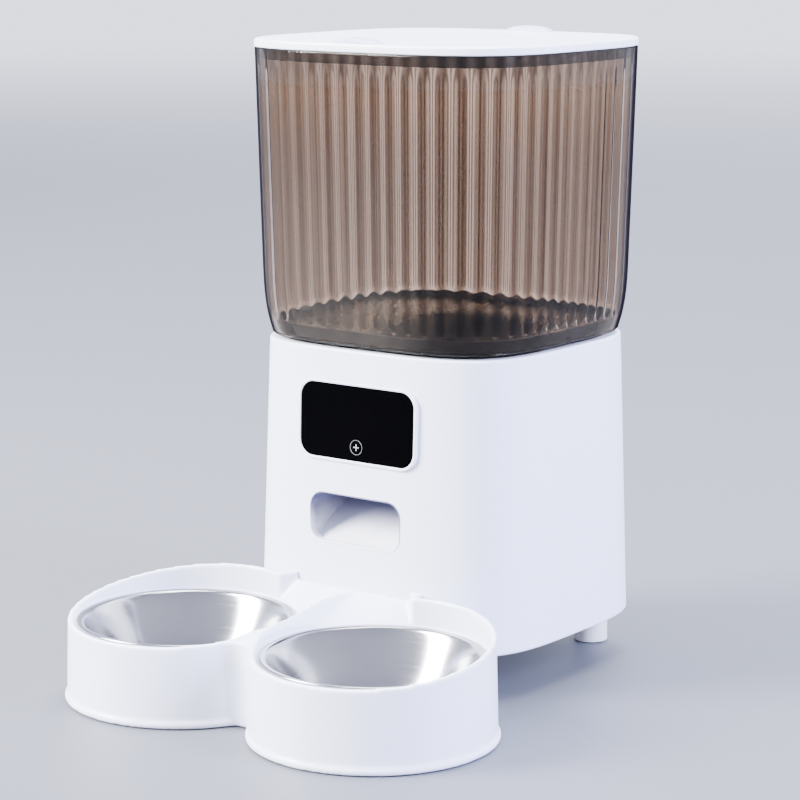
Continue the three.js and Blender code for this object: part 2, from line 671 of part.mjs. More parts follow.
function bottomCover() {
  const half = BASE_HALF_WIDTH - BASE_WALL - GAP - COVER_FREE;
  const body = loft([planRing(half, coverBottom), planRing(half, coverTop)]);
  const cuts = [
    plate(batteryOutline(0), coverBottom - PAST, coverTop + PAST),
    plate(batteryOutline(DOOR_LAP + RUNNING_GAP), coverBottom - PAST, coverBottom + DOOR_THICKNESS + GAP),
  ];
  for (const x of [-screwX, screwX]) {
    for (const y of [-SCREW_Y, SCREW_Y]) {
      const headTop = coverBottom + SCREW_HEAD_HEIGHT;
      cuts.push(rod(SCREW_SHANK_RADIUS + GAP, coverBottom - PAST, coverTop + PAST, x, y, SCREW_SIDES));
      cuts.push(rod(SCREW_HEAD_RADIUS + GAP, coverBottom - PAST, headTop, x, y, SHAFT_SIDES));
    }
  }
  return part("bottom_cover", shape(body, { cut: cuts }), palePlastic());
}

function coverScrews() {
  return Object.entries(CORNERS).map(([place, [sideX, sideY]]) => {
    const headTop = coverBottom + SCREW_HEAD_HEIGHT - GAP;
    const geometry = turned(
      [
        [0, coverBottom],
        [SCREW_HEAD_RADIUS, coverBottom],
        [SCREW_HEAD_RADIUS, headTop],
        [SCREW_SHANK_RADIUS, headTop],
        [SCREW_SHANK_RADIUS, coverBottom + SCREW_LENGTH],
        [0, coverBottom + SCREW_LENGTH + SCREW_POINT],
      ],
      COVER_SCREW_SIDES,
      sideX * screwX,
      sideY * SCREW_Y,
    );
    return part(`cover_screw_${place}`, geometry, steel());
  });
}

function feet() {
  return Object.entries(CORNERS).flatMap(([place, [sideX, sideY]]) => {
    const x = sideX * footX;
    const y = sideY * footY;
    const foot = turned(
      [
        [0, FOOT_PAD_HEIGHT + GAP],
        [FOOT_RADIUS - FOOT_CHAMFER, FOOT_PAD_HEIGHT + GAP],
        [FOOT_RADIUS, FOOT_PAD_HEIGHT + GAP + FOOT_CHAMFER],
        [FOOT_RADIUS, coverBottom - GAP],
        [0, coverBottom - GAP],
      ],
      SHAFT_SIDES,
      x,
      y,
    );
    const padRadius = FOOT_RADIUS - FOOT_PAD_INSET;
    const pad = turned(
      [
        [0, 0],
        [padRadius - FOOT_PAD_CHAMFER, 0],
        [padRadius, FOOT_PAD_CHAMFER],
        [padRadius, FOOT_PAD_HEIGHT],
        [0, FOOT_PAD_HEIGHT],
      ],
      SHAFT_SIDES,
      x,
      y,
    );
    return [part(`foot_${place}`, foot, palePlastic()), part(`foot_pad_${place}`, pad, blackRubber())];
  });
}

function batteryBox() {
  const body = plate(batteryOutline(BATTERY_WALL), batteryBottom, batteryTop);
  const hollow = plate(batteryOutline(0), batteryBottom - PAST, batteryTop - BATTERY_WALL);
  return part("battery_box", shape(body, { cut: [hollow] }), blackPlastic());
}

function batteryContacts() {
  const half = BATTERY_WIDTH / 2 - CONTACT_MARGIN_X;
  const low = batteryBottom + CONTACT_MARGIN_Z;
  const high = batteryTop - BATTERY_WALL - CONTACT_MARGIN_Z;
  const brass = () => finish(0xc7a860, 0.35, 1);
  return [
    ["front", -1],
    ["rear", 1],
  ].map(([place, side]) => {
    const inner = BATTERY_Y + side * (BATTERY_LENGTH / 2 - GAP);
    const y = inner - (side * CONTACT_THICKNESS) / 2;
    const strip = block(-half, half, y - CONTACT_THICKNESS / 2, y + CONTACT_THICKNESS / 2, low, high);
    const studY = inner - side * (CONTACT_THICKNESS + STUD_REACH);
    const studs = [-1, 0, 1].map((cell) => {
      const stud = rod(STUD_RADIUS, -STUD_HALF_LENGTH, STUD_HALF_LENGTH, 0, 0, SMALL_SHAFT_SIDES);
      return stud.rotateX(Math.PI / 2).translate((cell * BATTERY_WIDTH) / 3, studY, (low + high) / 2);
    });
    return part(`battery_contact_${place}`, shape(strip, { add: studs }), brass());
  });
}

function batteryDoor() {
  const body = plate(batteryOutline(DOOR_LAP), coverBottom, coverBottom + DOOR_THICKNESS);
  const thumb = plate(
    roundedRectangle(THUMB_WIDTH, THUMB_LENGTH, THUMB_CORNER, 0, BATTERY_Y + BATTERY_LENGTH / 2 - THUMB_INSET),
    coverBottom - PAST,
    coverBottom + THUMB_DEPTH,
  );
  return part("battery_door", shape(body, { cut: [thumb] }), palePlastic());
}

// ---- Display ---------------------------------------------------------------------------------------

function displayOutline(margin) {
  return roundedRectangle(
    DISPLAY_WIDTH + 2 * margin,
    DISPLAY_HEIGHT + 2 * margin,
    DISPLAY_CORNER + margin,
  );
}

function displayBezel() {
  const body = plate(displayOutline(BEZEL_WIDTH), BEZEL_PROUD - BEZEL_DEPTH, BEZEL_PROUD);
  const seat = plate(displayOutline(GAP), moduleFront, BEZEL_PROUD + PAST);
  const back = plate(displayOutline(-BEZEL_LEDGE), BEZEL_PROUD - BEZEL_DEPTH - PAST, BEZEL_PROUD);
  return part("display_bezel", onFront(shape(body, { cut: [seat, back] }), displayZ), whitePlastic());
}

function displayWindow() {
  const geometry = plate(displayOutline(0), windowFront - WINDOW_THICKNESS, windowFront, WINDOW_CORNER_STEPS);
  return part("display_window", onFront(geometry, displayZ), finish(0x060608, 0.06));
}

function displayModule() {
  const width = DISPLAY_WIDTH - MODULE_MARGIN_X;
  const height = DISPLAY_HEIGHT - MODULE_MARGIN_Y;
  const outline = roundedRectangle(width, height, MODULE_CORNER);
  const geometry = plate(outline, BEZEL_PROUD - BEZEL_DEPTH, moduleFront, BOARD_CORNER_STEPS);
  return part("display_module", onFront(geometry, displayZ), blackPlastic());
}

function controlBoard() {
  const front = BEZEL_PROUD - BEZEL_DEPTH - GAP;
  const outline = roundedRectangle(DISPLAY_WIDTH - BOARD_MARGIN, DISPLAY_HEIGHT - BOARD_MARGIN, BOARD_CORNER);
  const back = front - BOARD_THICKNESS;
  const board = plate(outline, back, front, BOARD_CORNER_STEPS);
  const parts = BOARD_COMPONENTS.map(([x0, x1, y0, y1, height]) => {
    return block(x0, x1, y0, y1, back - height, back + SOLDER_DEPTH);
  });
  return part("control_board", onFront(shape(board, { add: parts }), displayZ), finish(0x1e5a3a, 0.5));
}

// ---- Outlet chute ----------------------------------------------------------------------------------

// It starts under the sector hole of the portion chamber and slopes down to the slot in the front.
function outletChute() {
  const frontY = baseFrontAt(slotZ) + BASE_WALL * PLAN_RATIO + CHUTE_SET_BACK;
  const topZ = chamberBottom - GAP;
  const shaftFrontY = -(outletOuterRadius + CHUTE_WALL + CHUTE_TO_OUTLET);
  const half = SLOT_WIDTH / 2;
  const floorBack = topZ - CHUTE_FLOOR_DROP;
  const floorThickness = CHUTE_WALL + CHUTE_FLOOR_EXTRA;
  const body = prism(
    [
      [frontY, slotBottom - floorThickness],
      [chuteBackY, floorBack - floorThickness],
      [chuteBackY, topZ],
      [shaftFrontY - CHUTE_WALL, topZ],
      [shaftFrontY - CHUTE_WALL, slotTop + CHUTE_WALL],
      [frontY, slotTop + CHUTE_WALL],
    ],
    half + CHUTE_WALL,
  );
  const mouth = roundedRectangle(SLOT_WIDTH, SLOT_HEIGHT, SLOT_CORNER, 0, slotZ);
  const tunnel = plate(mouth, 0, chuteBackY - CHUTE_WALL - frontY + PAST)
    .rotateX(Math.PI / 2)
    .translate(0, chuteBackY - CHUTE_WALL, 0);
  const shaft = block(-half, half, shaftFrontY, chuteBackY - CHUTE_WALL, slotZ, topZ + PAST);
  const floor = prism(
    [
      [frontY, slotBottom - floorThickness],
      [chuteBackY, floorBack - floorThickness],
      [chuteBackY, floorBack],
      [frontY, slotBottom - CHUTE_LIP_DROP],
    ],
    half + CHUTE_WALL,
  );
  const hollow = shape(body, { cut: [tunnel, shaft] });
  return part("outlet_chute", shape(hollow, { add: [floor] }), whitePlastic());
}

// ---- Portion chamber, its cover and the gear plate -------------------------------------------------

// A sector between two radii, turned about the middle direction, as an XY outline.
function sector(innerRadius, outerRadius, middleDegrees, halfDegrees) {
  const start = THREE.MathUtils.degToRad(middleDegrees - halfDegrees);
  const end = THREE.MathUtils.degToRad(middleDegrees + halfDegrees);
  const outline = new THREE.Shape();
  outline.absarc(0, 0, outerRadius, start, end);
  outline.absarc(0, 0, innerRadius, end, start, true);
  outline.closePath();
  return outline;
}

function plateScrewPlaces() {
  return [
    [-postX, POST_FRONT_Y],
    [postX, POST_FRONT_Y],
    [-postX, POST_REAR_Y],
    [postX, POST_REAR_Y],
  ];
}

function portionChamber() {
  const body = rod(chamberRadius + CHAMBER_WALL, chamberBottom, chamberTop, 0, 0, CHAMBER_SIDES);
  const flangeRadius = chamberRadius + CHAMBER_FLANGE_WIDTH;
  const flangeBottom = chamberTop - CHAMBER_FLANGE_THICKNESS;
  const flange = rod(flangeRadius, flangeBottom, chamberTop, 0, 0, CHAMBER_SIDES);
  const posts = plateScrewPlaces().map(([x, y]) => {
    return rod(POST_RADIUS, gearPlateTop + GAP, chamberBottom + POST_ROOT, x, y, POST_SIDES);
  });
  const bores = plateScrewPlaces().map(([x, y]) => {
    return rod(SCREW_SHANK_RADIUS + GAP, gearPlateTop - PAST, chamberBottom - POST_CAP, x, y, SCREW_SIDES);
  });
  const hollow = rod(chamberRadius, chamberFloorTop, chamberTop + PAST, 0, 0, CHAMBER_SIDES);
  const outlet = sector(OUTLET_INNER_RADIUS, outletOuterRadius, OUTLET_MIDDLE, OUTLET_HALF_ANGLE);
  const cuts = [
    hollow,
    plate(outlet, chamberBottom - PAST, chamberFloorTop + PAST, OUTLET_STEPS),
    rod(SHAFT_RADIUS + RUNNING_GAP, chamberBottom - PAST, chamberFloorTop + PAST, 0, 0, SHAFT_SIDES),
    ...bores,
  ];
  const geometry = shape(body, { add: [flange, ...posts], cut: cuts });
  return part("portion_chamber", geometry, blackPlastic());
}

// It keeps the food in the tank off the pocket that stands over the outlet.
function chamberCover() {
  const bottom = chamberCoverTop - CHAMBER_COVER_THICKNESS;
  const body = rod(chamberRadius - GAP, bottom, chamberCoverTop, 0, 0, CHAMBER_SIDES);
  const inletInner = HUB_RADIUS + INLET_HUB_MARGIN;
  const inlet = sector(inletInner, spoutRadius - INLET_RIM_MARGIN, INLET_MIDDLE, INLET_HALF_ANGLE);
  const cuts = [
    plate(inlet, bottom - PAST, chamberCoverTop + PAST, INLET_STEPS),
    rod(SHAFT_RADIUS + RUNNING_GAP, bottom - PAST, chamberCoverTop + PAST, 0, 0, SHAFT_SIDES),
  ];
  return part("chamber_cover", shape(body, { cut: cuts }), blackPlastic());
}

function gearPlate() {
  const width = 2 * (postX + GEAR_PLATE_MARGIN);
  const outline = roundedRectangle(width, GEAR_PLATE_LENGTH, GEAR_PLATE_CORNER, 0, GEAR_PLATE_Y);
  const body = plate(outline, gearPlateBottom, gearPlateTop, PLATE_CORNER_STEPS);
  const low = gearPlateBottom - PAST;
  const high = gearPlateTop + PAST;
  const cuts = plateScrewPlaces().map(([x, y]) => {
    return rod(SCREW_SHANK_RADIUS + GAP, low, high, x, y, SCREW_SIDES);
  });
  cuts.push(rod(SHAFT_RADIUS + RUNNING_GAP, low, high, 0, 0, SHAFT_SIDES));
  cuts.push(rod(PINION_SHAFT_RADIUS + PINION_HOLE_MARGIN, low, high, 0, pinionY, SHAFT_SIDES));
  return part("gear_plate", shape(body, { cut: cuts }), steel());
}

function gearPlateScrews() {
  const names = Object.keys(CORNERS);
  return plateScrewPlaces().map(([x, y], i) => {
    const top = gearPlateBottom - GAP;
    const end = top + SCREW_LENGTH * PLATE_SCREW_SHARE;
    const geometry = turned(
      [
        [0, top - SCREW_HEAD_HEIGHT],
        [SCREW_HEAD_RADIUS, top - SCREW_HEAD_HEIGHT],
        [SCREW_HEAD_RADIUS, top],
        [SCREW_SHANK_RADIUS, top],
        [SCREW_SHANK_RADIUS, end],
        [0, end + SCREW_POINT],
      ],
      SCREW_SIDES,
      x,
      y,
    );
    return part(`plate_screw_${names[i]}`, geometry, steel());
  });
}

// ---- Drive -----------------------------------------------------------------------------------------

// Straight teeth: each has a foot, two flanks and a narrower tip. turn moves the first tooth's middle.
function gearOutline(teeth, turn) {
  const pitchRadius = (teeth * GEAR_MODULE) / 2;
  const root = pitchRadius - TOOTH_ROOT * GEAR_MODULE;
  const tip = pitchRadius + TOOTH_TIP * GEAR_MODULE;
  const step = (2 * Math.PI) / teeth;
  const half = step / 4 - TOOTH_BACKLASH / (2 * pitchRadius);
  const footHalf = half + (TOOTH_FOOT_WIDENING * GEAR_MODULE) / pitchRadius;
  const tipHalf = half - (TOOTH_TIP_NARROWING * GEAR_MODULE) / pitchRadius;
  const points = [];
  for (let i = 0; i < teeth; i++) {
    const middle = turn + i * step;
    const corners = [
      [root, middle - footHalf],
      [tip, middle - tipHalf],
      [tip, middle + tipHalf],
      [root, middle + footHalf],
    ];
    for (const [radius, angle] of corners) {
      points.push([radius * Math.cos(angle), radius * Math.sin(angle)]);
    }
  }
  return polygon(points);
}

function drivenGear() {
  const body = plate(gearOutline(DRIVEN_TEETH, Math.PI / 2), gearBottom, gearTop);
  const bore = rod(SHAFT_RADIUS + GAP, gearBottom - PAST, gearTop + PAST, 0, 0, SHAFT_SIDES);
  return part("driven_gear", shape(body, { cut: [bore] }), finish(0xe8e4da, 0.45));
}

// The driven gear has a tooth towards the pinion, so the pinion has a space towards the driven gear.
function motorPinion() {
  const turn = -Math.PI / 2 + Math.PI / PINION_TEETH;
  const body = plate(gearOutline(PINION_TEETH, turn), gearBottom, gearTop);
  const bore = rod(PINION_SHAFT_RADIUS + GAP, gearBottom - PAST, gearTop + PAST, 0, 0, SMALL_SHAFT_SIDES);
  const geometry = shape(body, { cut: [bore] }).translate(0, pinionY, 0);
  return part("motor_pinion", geometry, finish(0xc9a55a, 0.35, 1));
}

function pinionShaft() {
  const low = gearboxTop - PINION_SHAFT_ENGAGEMENT;
  const geometry = rod(PINION_SHAFT_RADIUS, low, gearTop + PINION_SHAFT_RISE, 0, pinionY, SMALL_SHAFT_SIDES);
  return part("pinion_shaft", geometry, steel());
}

function gearbox() {
  const outline = roundedRectangle(GEARBOX_WIDTH, GEARBOX_LENGTH, GEARBOX_CORNER, 0, gearboxY);
  const body = plate(outline, gearboxBottom, gearboxTop, PLATE_CORNER_STEPS);
  const high = gearboxTop + PAST;
  const low = gearboxTop - PINION_SHAFT_ENGAGEMENT - PAST;
  const thrustLow = gearboxTop - THRUST_BORE_DEPTH;
  const bore = rod(PINION_SHAFT_RADIUS + RUNNING_GAP, low, high, 0, pinionY, SMALL_SHAFT_SIDES);
  const thrustBore = rod(SHAFT_RADIUS + RUNNING_GAP, thrustLow, high, 0, 0, SMALL_SHAFT_SIDES);
  return part("gearbox", shape(body, { cut: [bore, thrustBore] }), finish(0xd5d5d2, 0.5));
}

function driveMotor() {
  const top = gearboxBottom - GAP;
  const bottom = top - MOTOR_LENGTH;
  const geometry = turned(
    [
      [0, bottom],
      [MOTOR_RADIUS - MOTOR_CHAMFER, bottom],
      [MOTOR_RADIUS, bottom + MOTOR_CHAMFER],
      [MOTOR_RADIUS, top],
      [0, top],
    ],
    BARREL_SIDES,
    0,
    motorY,
  );
  return part("drive_motor", geometry, steel());
}

// A small switch that counts the rotor's turns at the driven gear's rim.
function turnSwitch() {
  const near = drivenRadius + GEAR_MODULE + SWITCH_CLEARANCE;
  const side = near + LEVER_THICKNESS - LEVER_OVERLAP;
  const bottom = gearPlateTop + GAP;
  const top = gearTop - SWITCH_DROP;
  const body = block(side, side + SWITCH_WIDTH, SWITCH_FRONT_Y, SWITCH_BACK_Y, bottom, top);
  const low = gearBottom + LEVER_RISE;
  const lever = block(near, near + LEVER_THICKNESS, LEVER_FRONT_Y, LEVER_BACK_Y, low, low + LEVER_HEIGHT);
  return part("turn_switch", shape(body, { add: [lever] }), blackPlastic());
}

function rotorShaft() {
  const top = chamberCoverTop + RUNNING_GAP + STIRRER_HEIGHT - STIRRER_CAP - STIRRER_SHAFT_GAP - RUNNING_GAP;
  const geometry = rod(SHAFT_RADIUS, gearPlateBottom, top, 0, 0, SHAFT_SIDES);
  return part("rotor_shaft", geometry, steel());
}

function portionRotor() {
  const hub = rod(HUB_RADIUS, rotorBottom, rotorTop);
  const vanes = [];
  for (let i = 0; i < ROTOR_VANES; i++) {
    const vane = block(
      HUB_RADIUS - VANE_ROOT,
      ROTOR_RADIUS,
      -VANE_THICKNESS / 2,
      VANE_THICKNESS / 2,
      rotorBottom,
      rotorTop,
    );
    vanes.push(vane.rotateZ((i / ROTOR_VANES) * 2 * Math.PI));
  }
  const bore = rod(SHAFT_RADIUS + GAP, rotorBottom - PAST, rotorTop + PAST, 0, 0, SHAFT_SIDES);
  return part("portion_rotor", shape(hub, { add: vanes, cut: [bore] }), finish(0xdfe3e8, 0.45));
}

// Soft fingers that keep the food moving above the chamber.
function stirrer() {
  const bottom = chamberCoverTop + RUNNING_GAP;
  const top = bottom + STIRRER_HEIGHT;
  const hub = rod(STIRRER_HUB_RADIUS, bottom, top, 0, 0, STIRRER_SIDES, STIRRER_HUB_TOP_RADIUS);
  const low = bottom + FINGER_RISE;
  const fingers = [];
  for (let i = 0; i < FINGER_COUNT; i++) {
    const finger = block(0, STIRRER_REACH, -FINGER_HALF_WIDTH, FINGER_HALF_WIDTH, low, low + FINGER_HEIGHT);
    fingers.push(finger.rotateZ(((2 * i + 1) * Math.PI) / FINGER_COUNT));
  }
  const bore = rod(SHAFT_RADIUS + GAP, bottom - PAST, top - STIRRER_CAP, 0, 0, SHAFT_SIDES);
  return part("stirrer", shape(hub, { add: fingers, cut: [bore] }), finish(0x2e2e32, 0.8));
}

// ---- Power socket ----------------------------------------------------------------------------------

function powerSocket() {
  const outside = -baseFrontAt(socketZ);
  const profile = [
    [0, -SOCKET_LENGTH],
    [SOCKET_NOSE_RADIUS, -SOCKET_LENGTH],
    [SOCKET_NOSE_RADIUS, -SOCKET_SET_BACK - SOCKET_CHAMFER],
    [SOCKET_NOSE_RADIUS - SOCKET_CHAMFER, -SOCKET_SET_BACK],
    [SOCKET_BORE_RADIUS, -SOCKET_SET_BACK],
    [SOCKET_BORE_RADIUS, -SOCKET_BORE_DEPTH],
    [SOCKET_PIN_RADIUS, -SOCKET_BORE_DEPTH],
    [SOCKET_PIN_RADIUS, -SOCKET_PIN_SET_BACK],
    [0, SOCKET_PIN_POINT - SOCKET_PIN_SET_BACK],
  ];
  const nose = turned(profile, BARREL_SIDES).rotateX(-Math.PI / 2).translate(0, outside, socketZ);
  const inside = outside - BASE_WALL * PLAN_RATIO - SOCKET_BODY_GAP;
  const half = SOCKET_BODY_HALF;
  const body = block(-half, half, inside - SOCKET_BODY_LENGTH, inside, socketZ - half, socketZ + half);
  const bodyBore = rod(SOCKET_NOSE_RADIUS - SOCKET_BODY_LAP, 0, SOCKET_LENGTH + PAST, 0, 0, BARREL_SIDES)
    .rotateX(-Math.PI / 2)
    .translate(0, outside - SOCKET_LENGTH + SOCKET_BODY_LAP, socketZ);
  const housing = shape(body, { cut: [bodyBore] });
  return part("power_socket", shape(housing, { add: [nose] }), blackPlastic());
}

// ---- Tank and hopper -------------------------------------------------------------------------------

// The wall leans out evenly towards the top, and its foot curves in to the base.
function tankHalfAt(z) {
  const lean = tankTopHalf - (TANK_FLARE * (tankTop - z)) / TANK_HEIGHT;
  const low = Math.max(0, tankBottom + TANK_TUCK_HEIGHT - z) / TANK_TUCK_HEIGHT;
  return lean - TANK_TUCK * low ** TANK_TUCK_POWER;
}

function tank() {
  const levels = [0, TANK_EDGE, ...TANK_LEVELS, TANK_TUCK_HEIGHT, TANK_HEIGHT];
  const outside = levels.map((rise, i) => {
    const edge = i === 0 ? TANK_EDGE : 0;
    return planRing(tankHalfAt(tankBottom + rise) - edge, tankBottom + rise);
  });
  const spigotHalf = deckHalf - RUNNING_GAP;
  const spigot = loft([
    planRing(spigotHalf, deckFloor + GAP),
    planRing(spigotHalf, tankBottom + SPIGOT_ROOT),
  ]);
  const hole = loft([
    planRing(spigotHalf - TANK_HOLE_INSET, deckFloor - PAST),
    planRing(spigotHalf - TANK_HOLE_INSET, tankFloorTop + PAST),
  ]);
  const inner = (z) => tankHalfAt(z) - TANK_WALL;
  const fluteLow = funnelRim + FUNNEL_THICKNESS + GAP;
  const fluteHigh = tankTop - LID_SKIRT_DEPTH - PAST;
  const inside = loft([
    flutedRing(inner(tankFloorTop), tankFloorTop, 0),
    flutedRing(inner(fluteLow), fluteLow, 0),
    flutedRing(inner(fluteLow + FLUTE_FOOT), fluteLow + FLUTE_FOOT, FLUTE_DEPTH),
    flutedRing(inner(tankBottom + TANK_TUCK_HEIGHT), tankBottom + TANK_TUCK_HEIGHT, FLUTE_DEPTH),
    flutedRing(inner(fluteHigh - FLUTE_HEAD), fluteHigh - FLUTE_HEAD, FLUTE_DEPTH),
    flutedRing(inner(fluteHigh), fluteHigh, 0),
    flutedRing(inner(tankTop + PAST), tankTop + PAST, 0),
  ]);
  const geometry = shape(loft(outside), { add: [spigot], cut: [hole, inside] });
  return part("tank", geometry, finish(0x8a7264, 0.08, 0, 0.5));
}

// The tank's dark floor: a rim on the tank's own ledge, a shallow funnel, and a round spout.
function hopperFunnel() {
  const rimHalf = tankHalfAt(tankFloorTop) - TANK_WALL - GAP;
  const neckHalf = deckHalf - RUNNING_GAP - TANK_HOLE_INSET - GAP;
  const throat = deckFloor + GAP + FUNNEL_RISE;
  const spoutBottom = chamberCoverTop + RUNNING_GAP;
  const inner = spoutRadius - FUNNEL_THICKNESS;
  const geometry = loft(
    [
      roundRing(spoutRadius, spoutBottom),
      roundRing(spoutRadius, throat),
      planRing(neckHalf, funnelRim - FUNNEL_NECK),
      planRing(neckHalf, funnelRim),
      planRing(rimHalf, funnelRim),
      planRing(rimHalf, funnelRim + FUNNEL_THICKNESS),
      roundRing(inner, throat + FUNNEL_THICKNESS),
      roundRing(inner, spoutBottom),
    ],
    true,
  );
  return part("hopper_funnel", geometry, blackPlastic());
}

// ---- Lid -------------------------------------------------------------------------------------------

// A lens-shaped lump of three half axes.
function lens(halfX, halfY, halfZ, x, y, z) {
  return new THREE.SphereGeometry(1, LENS_SIDES, LENS_RINGS).scale(halfX, halfY, halfZ).translate(x, y, z);
}

function lid() {
  const plateBody = loft([
    planRing(lidHalf, lidBottom),
    planRing(lidHalf, lidTop - LID_EDGE),
    planRing(lidHalf - LID_EDGE, lidTop),
  ]);
  const skirtBottom = lidBottom - LID_SKIRT_DEPTH;
  const skirt = loft(
    [
      planRing(lidSkirtHalf, skirtBottom),
      planRing(lidSkirtHalf, lidBottom + PAST),
      planRing(lidSkirtHalf - LID_SKIRT_WALL, lidBottom + PAST),
      planRing(lidSkirtHalf - LID_SKIRT_WALL, skirtBottom),
    ],
    true,
  );
  const edgeY = lidHalf * PLAN_RATIO;
  const gripZ = lidTop - GRIP_SINK;
  const grips = [-1, 1].map((side) => {
    const y = side * (edgeY - GRIP_INSET);
    return lens(GRIP_HALF_WIDTH, GRIP_HALF_DEPTH, GRIP_RISE + GRIP_SINK, 0, y, gripZ);
  });
  const notches = [-1, 1].map((side) => {
    const y = side * (edgeY + NOTCH_INSET);
    return lens(GRIP_HALF_WIDTH - NOTCH_INSET, NOTCH_HALF_DEPTH, NOTCH_HALF_HEIGHT, 0, y, lidTop - NOTCH_SINK);
  });
  const insideHalf = lidHalf - GRIP_EDGE_GAP;
  const inside = loft([planRing(insideHalf, lidBottom), planRing(insideHalf, lidTop + GRIP_TRIM_HEIGHT)]);
  const trimmed = grips.map((grip) => shape(grip, { keep: [inside] }));
  return part("lid", shape(plateBody, { add: [skirt, ...trimmed], cut: notches }), whitePlastic());
}

function lidSeal() {
  const outer = lidSkirtHalf + GAP + SEAL_WIDTH;
  const low = lidBottom - LID_SKIRT_DEPTH + SEAL_RISE;
  const geometry = loft(
    [
      planRing(outer, low),
      planRing(outer, low + SEAL_HEIGHT),
      planRing(lidSkirtHalf + GAP, low + SEAL_HEIGHT),
      planRing(lidSkirtHalf + GAP, low),
    ],
    true,
  );
  return part("lid_seal", geometry, finish(0x9a9aa0, 0.7));
}

function desiccantHolder() {
  const top = lidBottom - GAP;
  const low = top - DESICCANT_DEPTH;
  const geometry = turned(
    [
      [0, top - DESICCANT_WALL],
      [DESICCANT_RADIUS - DESICCANT_WALL, top - DESICCANT_WALL],
      [DESICCANT_RADIUS - DESICCANT_WALL, low],
      [DESICCANT_RADIUS, low],
      [DESICCANT_RADIUS, top],
      [0, top],
    ],
    DESICCANT_SIDES,
  );
  return part("desiccant_holder", geometry, whitePlastic());
}

function desiccantCap() {
  const top = lidBottom - 2 * GAP - DESICCANT_DEPTH;
  const body = rod(DESICCANT_RADIUS, top - DESICCANT_CAP, top, 0, 0, DESICCANT_SIDES);
  const slits = [];
  for (let i = 0; i < SLIT_COUNT; i++) {
    const row = i - (SLIT_COUNT - 1) / 2;
    const reach = SLIT_HALF_LENGTH - SLIT_SHORTENING * Math.abs(row);
    const y0 = row * SLIT_PITCH - SLIT_HALF_WIDTH;
    const y1 = row * SLIT_PITCH + SLIT_HALF_WIDTH;
    slits.push(block(-reach, reach, y0, y1, top - DESICCANT_CAP - PAST, top + PAST));
  }
  return part("desiccant_cap", shape(body, { cut: slits }), palePlastic());
}

// ---- Bowl tray and bowls ---------------------------------------------------------------------------

// Height of the cups' rims, which rises towards the base.
function rimHeightAt(y) {
  const share = THREE.MathUtils.clamp((y - trayFrontY) / (baseFrontY - trayFrontY), 0, 1);
  return RIM_FRONT + RIM_RISE * share ** RIM_POWER;
}

// Height of the splitter's top: a ramp down to each bowl from the edge at the base, and a ridge
// between them.
function splitterHeightAt(x, y) {
  const across = Math.min(Math.abs(Math.abs(x) - cupX), wellRadius);
  const bowlEdgeY = cupY + Math.sqrt(wellRadius ** 2 - across ** 2);
  const down = THREE.MathUtils.clamp((trayBackY - y) / (trayBackY - bowlEdgeY), 0, 1);
  const ramp = CREST_HEIGHT - (CREST_HEIGHT - RAMP_FOOT) * down;
  const run = trayBackY - y;
  const bend = Math.max(0, run - CREST_BEND_START) / CREST_BEND_LENGTH;
  const crest = CREST_HEIGHT - CREST_SLOPE * run - CREST_BEND_DROP * bend ** 2;
  const flatHalf = RIDGE_FLAT_HALF * (Math.max(0, cupY - y) / RIDGE_FLAT_LENGTH) ** RIDGE_FLAT_POWER;
  const ridge = Math.max(crest, rimHeightAt(y)) - RIDGE_SLOPE * Math.max(0, Math.abs(x) - flatHalf);
  return Math.max(ramp, Math.min(ridge, CREST_HEIGHT));
}

// A block whose top follows a height over a grid of X and Y stations.
function terrain(xs, ys, floorZ, heightAt) {
  const positions = [];
  const at = (i, j, layer) => (i * ys.length + j) * 2 + layer;
  for (const x of xs) {
    for (const y of ys) {
      positions.push(x, y, floorZ, x, y, heightAt(x, y));
    }
  }
  const faces = [];
  const quad = (a, b, c, d) => faces.push(a, b, c, a, c, d);
  const lastX = xs.length - 1;
  const lastY = ys.length - 1;
  for (let i = 0; i < lastX; i++) {
    for (let j = 0; j < lastY; j++) {
      quad(at(i, j, 1), at(i + 1, j, 1), at(i + 1, j + 1, 1), at(i, j + 1, 1));
      quad(at(i, j, 0), at(i, j + 1, 0), at(i + 1, j + 1, 0), at(i + 1, j, 0));
    }
    quad(at(i, 0, 0), at(i + 1, 0, 0), at(i + 1, 0, 1), at(i, 0, 1));
    quad(at(i, lastY, 0), at(i, lastY, 1), at(i + 1, lastY, 1), at(i + 1, lastY, 0));
  }
  for (let j = 0; j < lastY; j++) {
    quad(at(0, j, 0), at(0, j, 1), at(0, j + 1, 1), at(0, j + 1, 0));
    quad(at(lastX, j, 0), at(lastX, j + 1, 0), at(lastX, j + 1, 1), at(lastX, j, 1));
  }
  const geometry = new THREE.BufferGeometry();
  geometry.setAttribute("position", new THREE.Float32BufferAttribute(positions, 3));
  geometry.setIndex(faces);
  return geometry;
}

// Even steps from start to end.
function stations(start, end, count) {
  return Array.from({ length: count + 1 }, (_, i) => start + ((end - start) * i) / count);
}

function cupOutside(side) {
  const profile = [
    [0, TRAY_LIFT],
    [cupFootRadius + CUP_FLANGE, TRAY_LIFT],
    [cupFootRadius + CUP_FLANGE, CUP_FLANGE_HEIGHT * CUP_FLANGE_EDGE],
    [cupFootRadius + CUP_FLANGE * CUP_FLANGE_TOP, CUP_FLANGE_HEIGHT],
    [cupRadius, trayStockTop],
    [0, trayStockTop],
  ];
  return turned(profile, CUP_SIDES, side * cupX, cupY);
}

// The tangent fillet between the two cups at the front of the web.
function webFillet() {
  const radius = cupRadius + CUP_DRAFT / 2;
  const offset = radius - WEB_LENGTH;
  const back = (cupX ** 2 - offset ** 2) / (2 * offset);
  return { radius: back - WEB_LENGTH, y: cupY - back, reach: (cupX * radius) / (radius + back - WEB_LENGTH) };
}

